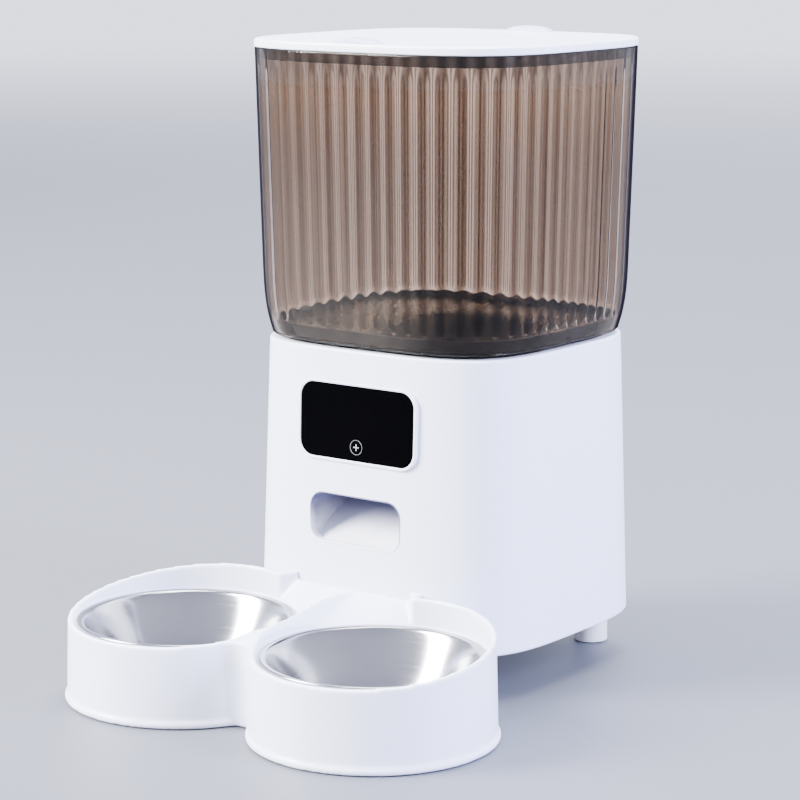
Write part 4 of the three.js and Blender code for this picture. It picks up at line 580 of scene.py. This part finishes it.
key_radius = 0.0043
key_line = 0.00015
key_drop = 0.0141  # from the window's middle
key_proud = 0.00006
key_thickness = 0.0001
plus_length = 0.0040
plus_width = 0.0006
key_bm = bmesh.new()
key_ring = bmesh.ops.create_circle(key_bm, segments=64, radius=key_radius)["verts"]
grown = bmesh.ops.extrude_edge_only(key_bm, edges=ring_edges(key_bm, key_ring))["geom"]
bmesh.ops.scale(key_bm, vec=(1 + key_line / key_radius, 1 + key_line / key_radius, 1),
                verts=[item for item in grown if isinstance(item, bmesh.types.BMVert)])
for arm_width, arm_height in ((plus_length, plus_width), (plus_width, plus_length)):
    arm = bmesh.ops.create_grid(key_bm, x_segments=1, y_segments=1, size=0.5)["verts"]
    bmesh.ops.scale(key_bm, vec=(arm_width, arm_height, 1), verts=arm)
bmesh.ops.translate(key_bm, vec=(window_x, -key_drop, window_front + key_proud), verts=key_bm.verts)
# Painted light: the key's grey ink also glows faintly with its own colour, so it shows on the black window.
key_ink_glow = Finish("key_ink_glow", Roughness=0.5, Emission_Strength=0.25)
ink_tone = key_ink_glow.noise(900.0)
ink_and_glow_colour = key_ink_glow.mix(ink_tone, (0.20, 0.20, 0.22, 1), (0.30, 0.30, 0.33, 1))
key_ink_glow.feed("Base Color", ink_and_glow_colour)
key_ink_glow.feed("Emission Color", ink_and_glow_colour)
grown = bmesh.ops.extrude_face_region(key_bm, geom=key_bm.faces[:])["geom"]
bmesh.ops.translate(key_bm, vec=(0, 0, -key_thickness),
                    verts=[item for item in grown if isinstance(item, bmesh.types.BMVert)])
on_front(key_bm, window_z)
make_piece(key_bm, "touch_key_mark", key_ink_glow.material, "base")

board_green = moulded("board_green", (0.03, 0.16, 0.08), (0.02, 0.11, 0.055), 0.35, 800.0, 0.00003)
repaint("control_board", board_green)
repaint("display_module", inner_black)


# ---- Outlet ------------------------------------------------------------------------------------------
# The food slides down a white chute to the slot. The chute's mouth has a softly rounded lip that fills
# the edge of the slot in the housing. High in the chute and lip the white turns dark navy grey: painted
# shade.

chute_white = Finish("chute_white")
# Painted shade: the chute and its lip go from white low in the slot to dark navy grey high up, under the
# slot's roof.
chute_height = chute_white.node("ShaderNodeSeparateXYZ", {}, {0: chute_white.place}, "Z")
shade_reach = slot_height * 0.45  # above and below the slot's middle
chute_unshaded = chute_white.node(
    "ShaderNodeMapRange", {"interpolation_type": "SMOOTHSTEP"},
    {0: chute_height, 1: slot_z - shade_reach, 2: slot_z + shade_reach, 3: 1.0, 4: 0.0})
chute_unshaded = chute_unshaded + (chute_white.noise(60.0, 3.0) - 0.5) * 0.06
chute_white.feed("Base Color", chute_white.mix(chute_unshaded, (0.07, 0.07, 0.17, 1), (0.80, 0.80, 0.90, 1)))
chute_white.feed("Roughness", 0.45 + (chute_white.noise(45.0, 3.0) - 0.5) * 0.12)
chute_white.bump(chute_white.noise(1500.0), 0.00002)
repaint("outlet_chute", chute_white.material)
lip_back = -0.009
lip_edge = 0.0008
lip_bm = framed(slot_width, slot_height, slot_corner, lip_width, lip_back, 0, lip_edge)
on_front(lip_bm, slot_z)
make_piece(lip_bm, "outlet_lip", chute_white.material, "base", crease=50)


# ---- Portion drive -----------------------------------------------------------------------------------
# A geared motor turns a six-pocket rotor in a round chamber over the chute. A plastic gear on the
# rotor's steel shaft meshes with the brass pinion, and soft fingers stir the food above.

gear_nylon = moulded("gear_nylon", (0.72, 0.69, 0.60), (0.66, 0.63, 0.55), 0.4, 900.0, 0.00002)
rotor_grey = moulded("rotor_grey", (0.60, 0.64, 0.70), (0.55, 0.58, 0.64), 0.38, 900.0, 0.00002)
gearbox_grey = moulded("gearbox_grey", (0.50, 0.50, 0.49), (0.45, 0.45, 0.44), 0.45, 1200.0, 0.00003)
stirrer_rubber = moulded("stirrer_rubber", (0.030, 0.030, 0.033), (0.02, 0.02, 0.022), 0.7, 2000.0, 0.00003)
for node in ("portion_chamber", "chamber_cover", "turn_switch"):
    repaint(node, inner_black)
for node in ("gear_plate", "drive_motor", "pinion_shaft", "rotor_shaft"):
    repaint(node, plated_steel)
for corner in CORNERS:
    repaint("plate_screw_" + corner, plated_steel)
repaint("gearbox", gearbox_grey)
repaint("motor_pinion", plated_brass)
repaint("driven_gear", gear_nylon)
repaint("portion_rotor", rotor_grey)
repaint("stirrer", stirrer_rubber)


# ---- Power socket ------------------------------------------------------------------------------------
# A round low-voltage inlet sits low in the back: a black nylon barrel with a plated centre pin, all
# finished black here.

repaint("power_socket", inner_black)


# ---- Tank --------------------------------------------------------------------------------------------
# The tank is blow-clear smoky plastic, smooth outside and fluted inside, with a rounded foot. A square
# spigot under it drops into the recess of the housing.

tank_low, tank_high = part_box("tank")
tank_bottom = base_top + 0.0018
tank_top = tank_high.z - 0.0015
tank_top_half = tank_high.x
tank_wall = 0.0032
FLUTES = 60
FLUTE_POINTS = 12
TANK_PLAN = even_plan(FLUTES * FLUTE_POINTS)
flute_depth = 0.0006
flute_top_depth = 0.0003  # where the lid's seal presses on them
flute_foot = tank_bottom + 0.0098
flute_fade = tank_top - 0.0160


tank_taper = 0.0044 / 0.1755
foot_tuck = 0.0043  # how far the wall curves in at its foot
foot_rise = 0.044  # where that starts


def tank_half_at(z):
    lean = tank_top_half - tank_taper * (tank_top - z)
    return lean - foot_tuck * max(0.0, (tank_bottom + foot_rise - z) / foot_rise) ** 3


def tank_ring(half, z):
    return [Vector((p.x * half, p.y * half + axis_y, z)) for p in TANK_PLAN]


def ease(share):
    share = min(max(share, 0.0), 1.0)
    return share * share * (3 - 2 * share)


end_height = 0.0042  # of a rib's round lower end
end_slope = 0.0022
fade_height = 0.008


def rib_at(number, z):
    """How far a rib has risen, from 0 to 1: soft ribs with round lower ends."""
    rib = 0.5 - 0.5 * cos(2 * pi * number / FLUTE_POINTS)
    start = flute_foot + end_height * (1 - rib)
    return rib * ease((z - start) / end_slope)


def fluted_ring(z):
    """The tank's inside, with ribs that fade towards the lid's seal."""
    places = []
    for number, p in enumerate(TANK_PLAN):
        fade = ease((z - flute_fade) / fade_height)
        full = flute_depth + (flute_top_depth - flute_depth) * fade
        depth = full * rib_at(number, z)
        half = tank_half_at(z) - tank_wall - depth
        places.append(Vector((p.x * half, p.y * half + axis_y, z)))
    return places


spigot_half = deck_half - 0.0005
foot_round = 0.0022
foot_half = tank_half_at(tank_bottom + foot_round)
foot_arc = arc(foot_half - foot_round, tank_bottom + foot_round, foot_round, -90, 0, 6)
rim_round = 0.0007
rim_z = tank_top - rim_round
rim_arc = arc(tank_top_half - rim_round, rim_z, rim_round, 0, 90, 3)
rim_arc += arc(tank_top_half - tank_wall + rim_round, rim_z, rim_round, 90, 180, 3)
tank_rings = [tank_ring(spigot_half, tank_low.z), tank_ring(spigot_half, tank_bottom)]
tank_rings += [tank_ring(half, z) for half, z in foot_arc]
for rise in (0.006, 0.010, 0.014, 0.019, 0.025, 0.031, 0.038, 0.044, 0.08, 0.12, 0.15):
    tank_rings.append(tank_ring(tank_half_at(tank_bottom + rise), tank_bottom + rise))
tank_rings += [tank_ring(half, z) for half, z in rim_arc]
levels = [tank_top - 0.0016, *[flute_fade + rise for rise in (0.0080, 0.006, 0.004, 0.002, 0)]]
levels += [0.355, 0.34, 0.30, 0.275, 0.2503, 0.243, 0.236, 0.230, 0.225, 0.221, 0.218]
levels += [flute_foot + 0.0072 - 0.0006 * step for step in range(13)]
tank_rings += [fluted_ring(z) for z in sorted(levels, reverse=True) if z > flute_foot - 0.0001]
tank_floor_top = tank_bottom + 0.002
hole_half = spigot_half - 0.0032
tank_rings += [
    tank_ring(tank_half_at(tank_floor_top) - tank_wall, tank_floor_top),
    tank_ring(hole_half, tank_floor_top),
    tank_ring(hole_half, tank_low.z),
]
tank_bm = bmesh.new()
loft(tank_bm, tank_rings, is_loop=True)
thickness = tank_bm.verts.layers.float.new("thickness")
outside = tank_bm.verts.layers.float.new("outside")
skin_depth = 0.0012  # how near the outside a point is to count as its skin
plan_angles = [atan2(p.y, p.x) % (2 * pi) for p in TANK_PLAN]
for vert in tank_bm.verts:
    angle = atan2(vert.co.y - axis_y, vert.co.x) % (2 * pi)
    number = bisect(plan_angles, angle + 1e-5) - 1
    vert[thickness] = rib_at(number, vert.co.z)
    half = Vector((vert.co.x, vert.co.y - axis_y)).length / TANK_PLAN[number].length
    vert[outside] = 1.0 if half > tank_half_at(vert.co.z) - skin_depth else 0.0

smoky = Finish("smoky_plastic", Transmission_Weight=1.0, IOR=1.27, Specular_IOR_Level=0.2)
haze = smoky.noise(14.0, 3.0)
rib_share = smoky.node("ShaderNodeAttribute", {"attribute_name": "thickness"}, {}, "Fac")
thin = smoky.mix(haze, (0.87, 0.725, 0.60, 1), (0.90, 0.75, 0.62, 1))
thick = smoky.mix(haze, (0.255, 0.170, 0.115, 1), (0.275, 0.185, 0.125, 1))
smoky.feed("Base Color", smoky.mix(rib_share, thin, thick))
edge_start = 0.60
edge_gain = 6.0
edge_on = (smoky.node("ShaderNodeLayerWeight", {}, {"Blend": 0.5}, "Facing") - edge_start) * edge_gain
is_outside = smoky.node("ShaderNodeAttribute", {"attribute_name": "outside"}, {}, "Fac")
smoky.edge(edge_on * is_outside, (0.008, 0.007, 0.009, 1))
smoky.feed("Roughness", 0.015 + smoky.noise(40.0, 3.0) * 0.04)
smoky.bump(smoky.noise(55.0), 0.00004)
tank = make_piece(tank_bm, "smoky_tank", smoky.material, "tank", crease=50)
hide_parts("tank")


# ---- Hopper floor ------------------------------------------------------------------------------------
# A black funnel lies on a ledge at the tank's foot and leads the food to a round spout over the rotor.
# Its rim stands up against the tank's wall, as high as the ribs' lower ends.

funnel_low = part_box("hopper_funnel")[0]
funnel_shelf = tank_floor_top + 0.0003
funnel_rim = flute_foot - 0.0003
funnel_half = tank_half_at(tank_floor_top) - tank_wall - 0.0004
rim_half = tank_half_at(funnel_rim) - tank_wall - 0.0005
throat_z = deck_floor + 0.0028
spout_radius = 0.0485
spout_wall = 0.002
funnel_plug = hole_half - 0.0003
bead = 0.0007
funnel_rings = [
    round_ring(spout_radius, funnel_low.z),
    round_ring(spout_radius, throat_z - 0.002),
    plan_ring(funnel_plug, funnel_shelf - 0.0012),
    plan_ring(funnel_plug, funnel_shelf),
    plan_ring(funnel_half, funnel_shelf),
    plan_ring(rim_half, funnel_rim - bead),
    *rounded_rings(rim_half - bead, funnel_rim - bead, bead, 0, 180, 6),
    plan_ring(funnel_half - 0.0018, funnel_shelf + 0.0040),
    plan_ring(funnel_half - 0.0042, funnel_shelf + 0.0019),
    plan_ring(funnel_half - 0.0200, funnel_shelf + 0.0006),
    plan_ring(funnel_half - 0.0340, funnel_shelf - 0.0036),
    round_ring(spout_radius - 0.0005, throat_z + 0.0012),
    round_ring(spout_radius - spout_wall, throat_z - 0.0010),
    round_ring(spout_radius - spout_wall, funnel_low.z),
]
funnel_bm = bmesh.new()
loft(funnel_bm, funnel_rings, is_loop=True)
funnel_black = Finish("funnel_black", Specular_IOR_Level=0.04)
funnel_dust = funnel_black.noise(70.0, 4.0)
wiped_black = (0.0030, 0.0028, 0.0030, 1)
dusty_black = (0.0060, 0.0055, 0.0058, 1)
funnel_black.feed("Base Color", funnel_black.mix(funnel_dust, wiped_black, dusty_black))
funnel_black.feed("Roughness", 0.22 + funnel_dust * 0.12)
funnel_black.bump(funnel_black.noise(120.0), 0.00003)
funnel = make_piece(funnel_bm, "hopper_floor", funnel_black.material, "tank", crease=45)
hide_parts("hopper_funnel")


# ---- Lid ---------------------------------------------------------------------------------------------
# The lid is a flat satin white moulding with a skirt that plugs the tank over a black rubber gasket. Two
# lens-shaped finger tabs rise at its front and back edges, painted a darker lavender grey as painted shade.

lid_low, lid_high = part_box("lid")
lid_half = lid_high.x
lid_bottom = tank_top + 0.0003
lid_top = lid_bottom + 0.0049
skirt_half = tank_top_half - tank_wall - 0.002 - 0.0006
skirt_wall = 0.002
lid_edge = 0.0013
lid_rings = [
    plan_ring(skirt_half - skirt_wall, lid_bottom),
    plan_ring(skirt_half - skirt_wall, lid_low.z),
    plan_ring(skirt_half, lid_low.z),
    plan_ring(skirt_half, lid_bottom),
    plan_ring(lid_half - 0.0004, lid_bottom),
    plan_ring(lid_half, lid_bottom + 0.0004),
    *rounded_rings(lid_half - lid_edge, lid_top - lid_edge, lid_edge, 0, 90, 6),
    plan_ring(lid_half - 0.006, lid_top),
]
lid_bm = bmesh.new()
loft(lid_bm, lid_rings)
white_lid = moulded("white_lid", (0.84, 0.85, 0.95), (0.81, 0.82, 0.93), 0.30, 1500.0, 0.00001,
                    Coat_Weight=0.2, Coat_Roughness=0.15)
lid = make_piece(lid_bm, "lid_cover", white_lid, "lid")
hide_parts("lid")

# Painted shade: the tabs are painted darker and bluer than the lid so that they read as shaded faces.
tab_shaded_white = moulded("tab_shaded_white", (0.50, 0.50, 0.66), (0.47, 0.47, 0.63), 0.34, 1500.0, 0.00001)
grip_half = 0.017
grip_depth = 0.010
grip_rise = lid_high.z - lid_top
grip_sink = 0.0005  # of its middle below the lid's top
grip_inset = 0.009  # of its middle from the lid's edge
cut_inset = 0.0012
grip_edge = 0.0006
for side, name in ((-1, "finger_tab_front"), (1, "finger_tab_back")):
    grip_bm = bmesh.new()
    bmesh.ops.create_uvsphere(grip_bm, u_segments=72, v_segments=36, radius=1)
    bmesh.ops.scale(grip_bm, vec=(grip_half, grip_depth, grip_rise + grip_sink), verts=grip_bm.verts)
    grip_y = axis_y + side * (lid_half * PLAN_RATIO - grip_inset)
    bmesh.ops.translate(grip_bm, vec=(0, grip_y, lid_top - grip_sink), verts=grip_bm.verts)
    for point, normal in (((0, 0, lid_top - 2 * grip_sink), (0, 0, -1)),
                          ((0, axis_y + side * (lid_half * PLAN_RATIO - cut_inset), 0), (0, side, 0))):
        cut = bmesh.ops.bisect_plane(grip_bm, geom=grip_bm.verts[:] + grip_bm.edges[:] + grip_bm.faces[:],
                                     plane_co=point, plane_no=normal, clear_outer=True)["geom_cut"]
        bmesh.ops.holes_fill(grip_bm, edges=[e for e in cut if isinstance(e, bmesh.types.BMEdge)], sides=0)
    rims = [e for e in grip_bm.edges if e.is_manifold and e.calc_face_angle() > radians(35)
            and e.verts[0].co.z > lid_top]
    bmesh.ops.bevel(grip_bm, geom=rims, offset=grip_edge, offset_type="OFFSET", affect="EDGES", segments=3,
                    profile=0.5, material=-1, clamp_overlap=True)
    make_piece(grip_bm, name, tab_shaded_white, "lid", crease=45)

seal_dark = moulded("seal_dark", (0.035, 0.030, 0.030), (0.025, 0.021, 0.022), 0.6, 1800.0, 0.00002)
seal_outer = skirt_half + 0.0021
seal_inner = skirt_half + 0.0001
seal_bottom = lid_low.z + 0.0003
seal_top = lid_bottom - 0.0004
seal_bead = 0.0006
seal_bm = bmesh.new()
loft(seal_bm, [
    plan_ring(seal_inner, seal_bottom),
    *rounded_rings(seal_outer - seal_bead, seal_bottom + seal_bead, seal_bead, -90, 0, 3),
    *rounded_rings(seal_outer - seal_bead, seal_top - seal_bead, seal_bead, 0, 90, 3),
    plan_ring(seal_inner, seal_top),
], is_loop=True)
seal = make_piece(seal_bm, "lid_gasket", seal_dark, "lid", crease=50)
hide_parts("lid_seal")
repaint("desiccant_holder", white_abs)
repaint("desiccant_cap", cover_grey)


# ---- Twin bowl tray ----------------------------------------------------------------------------------
# The tray is one thick white moulding that pushes up against the base: two drafted cups with a foot
# flange, joined by a web in front and by a ridged food splitter behind. Four rubber pads carry it.

tray_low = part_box("bowl_tray")[0]
bowl_low, bowl_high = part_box("bowl_right")
cup_x = (bowl_low.x + bowl_high.x) / 2
cup_y = (bowl_low.y + bowl_high.y) / 2
cup_radius = 0.0695
cup_foot_radius = 0.0710
well_radius = 0.0670
ledge_radius = 0.0615
ledge_z = 0.0462
tray_bottom = tray_low.z
tray_front = tray_low.y
base_front = axis_y - base_half * PLAN_RATIO
crest_z = 0.0605
ramp_foot = 0.0478
tray_back = axis_y - base_half_at(crest_z) * PLAN_RATIO - 0.0005
tray_over = 0.075  # higher than any of the tray


rim_front_z = 0.0476
rim_climb = 0.0175


def rim_height(y):
    share = min(max((y - tray_front) / (base_front - tray_front), 0.0), 1.0)
    return rim_front_z + rim_climb * share ** 1.35


def splitter_height(x, y):
    """A ramp down to each bowl from the edge at the base, with a sharp ridge between them."""
    across = min(abs(abs(x) - cup_x), well_radius)
    bowl_edge = cup_y + sqrt(well_radius ** 2 - across ** 2)
    down = min(max((tray_back - y) / (tray_back - bowl_edge), 0.0), 1.0)
    ramp = crest_z - (crest_z - ramp_foot) * down
    run = tray_back - y
    crest = crest_z - 0.072 * run - 0.005 * (max(0.0, run - 0.088) / 0.020) ** 2
    flat_half = 0.012 * (max(0.0, cup_y - y) / 0.035) ** 1.5
    ridge = max(crest, rim_height(y)) - 1.17 * max(0.0, abs(x) - flat_half)
    return max(ramp, min(ridge, crest_z))


def cylinders(radius, low, high, name):
    """A pair of upright cylinders on the cups' axes, for cutting."""
    bm = bmesh.new()
    for side in (-1, 1):
        place = Matrix.Translation((side * cup_x, cup_y, (low + high) / 2))
        bmesh.ops.create_cone(bm, cap_ends=True, segments=160, radius1=radius, radius2=radius,
                              depth=high - low, matrix=place)
    return loose_piece(bm, name)


def block(x0, x1, y0, y1, z0, z1, name):
    bm = bmesh.new()
    bmesh.ops.create_cube(bm, size=1)
    bmesh.ops.scale(bm, vec=(x1 - x0, y1 - y0, z1 - z0), verts=bm.verts)
    bmesh.ops.translate(bm, vec=((x0 + x1) / 2, (y0 + y1) / 2, (z0 + z1) / 2), verts=bm.verts)
    return loose_piece(bm, name)


def outline_plate(points, low, high, name):
    """An upright plate of a plan outline."""
    bm = bmesh.new()
    bm.faces.new([bm.verts.new((x, y, low)) for x, y in points])
    grown = bmesh.ops.extrude_face_region(bm, geom=bm.faces[:])["geom"]
    top = [item for item in grown if isinstance(item, bmesh.types.BMVert)]
    bmesh.ops.translate(bm, vec=(0, 0, high - low), verts=top)
    return loose_piece(bm, name)


flange = 0.0017
cup_top = 0.069  # before it is cut to its rim
cup_profile = [(0, tray_bottom), (cup_foot_radius + flange, tray_bottom),
               (cup_foot_radius + flange, 0.0036), (cup_foot_radius + 0.0002, 0.0046),
               (cup_radius, cup_top), (0, cup_top)]
bridge_half = 0.0505
tray = make_piece(spun(cup_profile, -cup_x, cup_y, 160), "twin_bowl_tray", white_abs, None)
combine(tray, loose_piece(spun(cup_profile, cup_x, cup_y, 160), "right_cup"), "UNION")
combine(tray, block(-bridge_half, bridge_half, cup_y, tray_back + 0.002, tray_bottom, cup_top, "bridge"),
        "UNION")

web_reach = 0.0325  # from the cups' axes to the front of the web
web_radius = cup_radius + 0.0008
fillet_offset = web_radius - web_reach
fillet_back = (cup_x ** 2 - fillet_offset ** 2) / (2 * fillet_offset)
fillet_radius = fillet_back - web_reach
fillet_y = cup_y - fillet_back
web_half = cup_x - cup_x * web_radius / (web_radius + fillet_radius)
web = block(-web_half, web_half, fillet_y, cup_y + 0.005, tray_bottom, cup_top, "web")
fillet_bm = bmesh.new()
bmesh.ops.create_cone(fillet_bm, cap_ends=True, segments=96, radius1=fillet_radius, radius2=fillet_radius,
                      depth=0.2, matrix=Matrix.Translation((0, fillet_y, 0.03)))
combine(web, loose_piece(fillet_bm, "web_fillet"), "DIFFERENCE")
combine(tray, web, "UNION")

splitter_half = 0.0425
splitter_flare = 0.0075
splitter_front = cup_y - 0.030


def splitter_plan(margin):
    narrow = splitter_half + margin
    wide = narrow + splitter_flare
    right = [(0.003 + margin, splitter_front - margin), (wide, cup_y), (wide, tray_back - splitter_flare),
             (narrow, tray_back), (narrow, tray_back + 0.003 + margin)]
    return right + [(-x, y) for x, y in reversed(right)]


combine(tray, outline_plate(splitter_plan(0), ramp_foot - 0.005, tray_over, "splitter_pocket"),
        "DIFFERENCE")

rim_bm = bmesh.new()
bmesh.ops.create_grid(rim_bm, x_segments=1, y_segments=40, size=0.5)
bmesh.ops.scale(rim_bm, vec=(0.4, 0.2, 1), verts=rim_bm.verts)
bmesh.ops.translate(rim_bm, vec=(0, tray_front + 0.095, 0), verts=rim_bm.verts)
for vert in rim_bm.verts:
    vert.co.z = rim_height(vert.co.y)
grown = bmesh.ops.extrude_face_region(rim_bm, geom=rim_bm.faces[:])["geom"]
bmesh.ops.translate(rim_bm, vec=(0, 0, 0.05),
                    verts=[item for item in grown if isinstance(item, bmesh.types.BMVert)])
combine(tray, loose_piece(rim_bm, "over_the_rims"), "DIFFERENCE")

ramp_width = 0.104
ramp_back = tray_back + 0.004
ramp_front = splitter_front - 0.001
ramp_bm = bmesh.new()
bmesh.ops.create_grid(ramp_bm, x_segments=104, y_segments=56, size=0.5)
bmesh.ops.scale(ramp_bm, vec=(ramp_width, ramp_back - ramp_front, 1), verts=ramp_bm.verts)
bmesh.ops.translate(ramp_bm, vec=(0, (ramp_back + ramp_front) / 2, 0), verts=ramp_bm.verts)
for vert in ramp_bm.verts:
    vert.co.z = splitter_height(vert.co.x, vert.co.y)
grown = bmesh.ops.extrude_face_region(ramp_bm, geom=ramp_bm.faces[:])["geom"]
for item in grown:
    if isinstance(item, bmesh.types.BMVert):
        item.co.z = ramp_foot - 0.006
splitter = loose_piece(ramp_bm, "splitter")
combine(splitter, outline_plate(splitter_plan(0.0003), ramp_foot - 0.01, tray_over, "splitter_trim"),
        "INTERSECT")
combine(tray, splitter, "UNION")

tray_gap = 0.0005  # to the housing
clearance_bm = bmesh.new()
loft(clearance_bm, [plan_ring(base_half + tray_gap, -0.02), plan_ring(base_half + tray_gap, base_bottom),
                    plan_ring(base_half_at(tray_over) + tray_gap, tray_over)])
combine(tray, loose_piece(clearance_bm, "base_clearance"), "DIFFERENCE")
combine(tray, cylinders(well_radius, ledge_z, tray_over, "wells"), "DIFFERENCE")
combine(tray, cylinders(ledge_radius, 0.003, tray_over, "deep_wells"), "DIFFERENCE")
hollow_half = 0.038
hollow_top = 0.0425
combine(tray, block(-hollow_half, hollow_half, cup_y + 0.062, tray_back - 0.0054, -0.01, hollow_top,
                    "tray_hollow"), "DIFFERENCE")

remesh = tray.modifiers.new("even_skin", "REMESH")
remesh.mode = "VOXEL"
remesh.voxel_size = 0.00125
remesh.use_smooth_shade = True
smooth = tray.modifiers.new("softened_edges", "SMOOTH")
smooth.factor = 0.5
smooth.iterations = 3
settle(tray)
tray.data.materials.clear()
tray.data.materials.append(white_abs)
for polygon in tray.data.polygons:
    polygon.use_smooth = True
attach(tray, "tray")
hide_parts("bowl_tray")
for corner in CORNERS:
    repaint("tray_pad_" + corner, pad_rubber)


# ---- Bowls -------------------------------------------------------------------------------------------
# Each bowl is pressed and polished from thin stainless sheet, with a flat bottom, a rounded corner and
# a rolled rim that lies on the ledge of its cup.

bowl_profile = [
    (0, bowl_low.z), (0.0390, bowl_low.z), (0.0425, bowl_low.z + 0.0008), (0.0455, bowl_low.z + 0.0030),
    (0.0485, bowl_low.z + 0.0075), (0.0530, bowl_low.z + 0.0170), (0.0572, bowl_low.z + 0.0270),
    (0.0606, ledge_z + 0.0002), (0.0612, ledge_z + 0.0003), (0.0638, ledge_z + 0.0003),
    *arc(0.0641, ledge_z + 0.0011, 0.0009, -70, 100, 8),
    (0.0625, bowl_high.z + 0.0001), (0.0612, bowl_high.z - 0.0003), (0.0603, bowl_high.z - 0.0011),
    (0.0562, bowl_low.z + 0.0274), (0.0520, bowl_low.z + 0.0174), (0.0476, bowl_low.z + 0.0080),
    (0.0448, bowl_low.z + 0.0040), (0.0420, bowl_low.z + 0.0018), (0.0388, bowl_low.z + 0.0010),
    (0, bowl_low.z + 0.0010),
]


def polished_steel(name, x):
    """Stainless sheet with faint rings from polishing, centred on the bowl's axis."""
    finish = Finish(name, Metallic=1.0)
    centred = finish.node("ShaderNodeVectorMath", {"operation": "SUBTRACT"},
                          {0: finish.place, 1: (x, cup_y, 0)})
    across = finish.node("ShaderNodeVectorMath", {"operation": "MULTIPLY"}, {0: centred, 1: (1, 1, 0)})
    radius = finish.node("ShaderNodeVectorMath", {"operation": "LENGTH"}, {0: across}, "Value")
    rings = finish.node("ShaderNodeTexNoise", {"noise_dimensions": "1D"},
                        {"W": radius, "Scale": 1400.0, "Detail": 3.0})
    stains = finish.noise(35.0, 4.0)
    finish.feed("Base Color", finish.mix(stains, (0.33, 0.33, 0.345, 1), (0.42, 0.42, 0.435, 1)))
    finish.feed("Roughness", 0.13 + (rings - 0.5) * 0.10 + stains * 0.08)
    finish.bump(rings, 0.000006)
    return finish.material


for side, name in ((-1, "left"), (1, "right")):
    steel = polished_steel("polished_steel_" + name, side * cup_x)
    bowl_bm = spun(bowl_profile, side * cup_x, cup_y, 160)
    bowl = make_piece(bowl_bm, "steel_bowl_" + name, steel, "bowl_" + name, crease=60)
    bowl.modifiers.new("fine_curve", "SUBSURF")
    bowl.modifiers["fine_curve"].levels = 1
    bowl.modifiers["fine_curve"].render_levels = 1
    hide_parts("bowl_" + name)
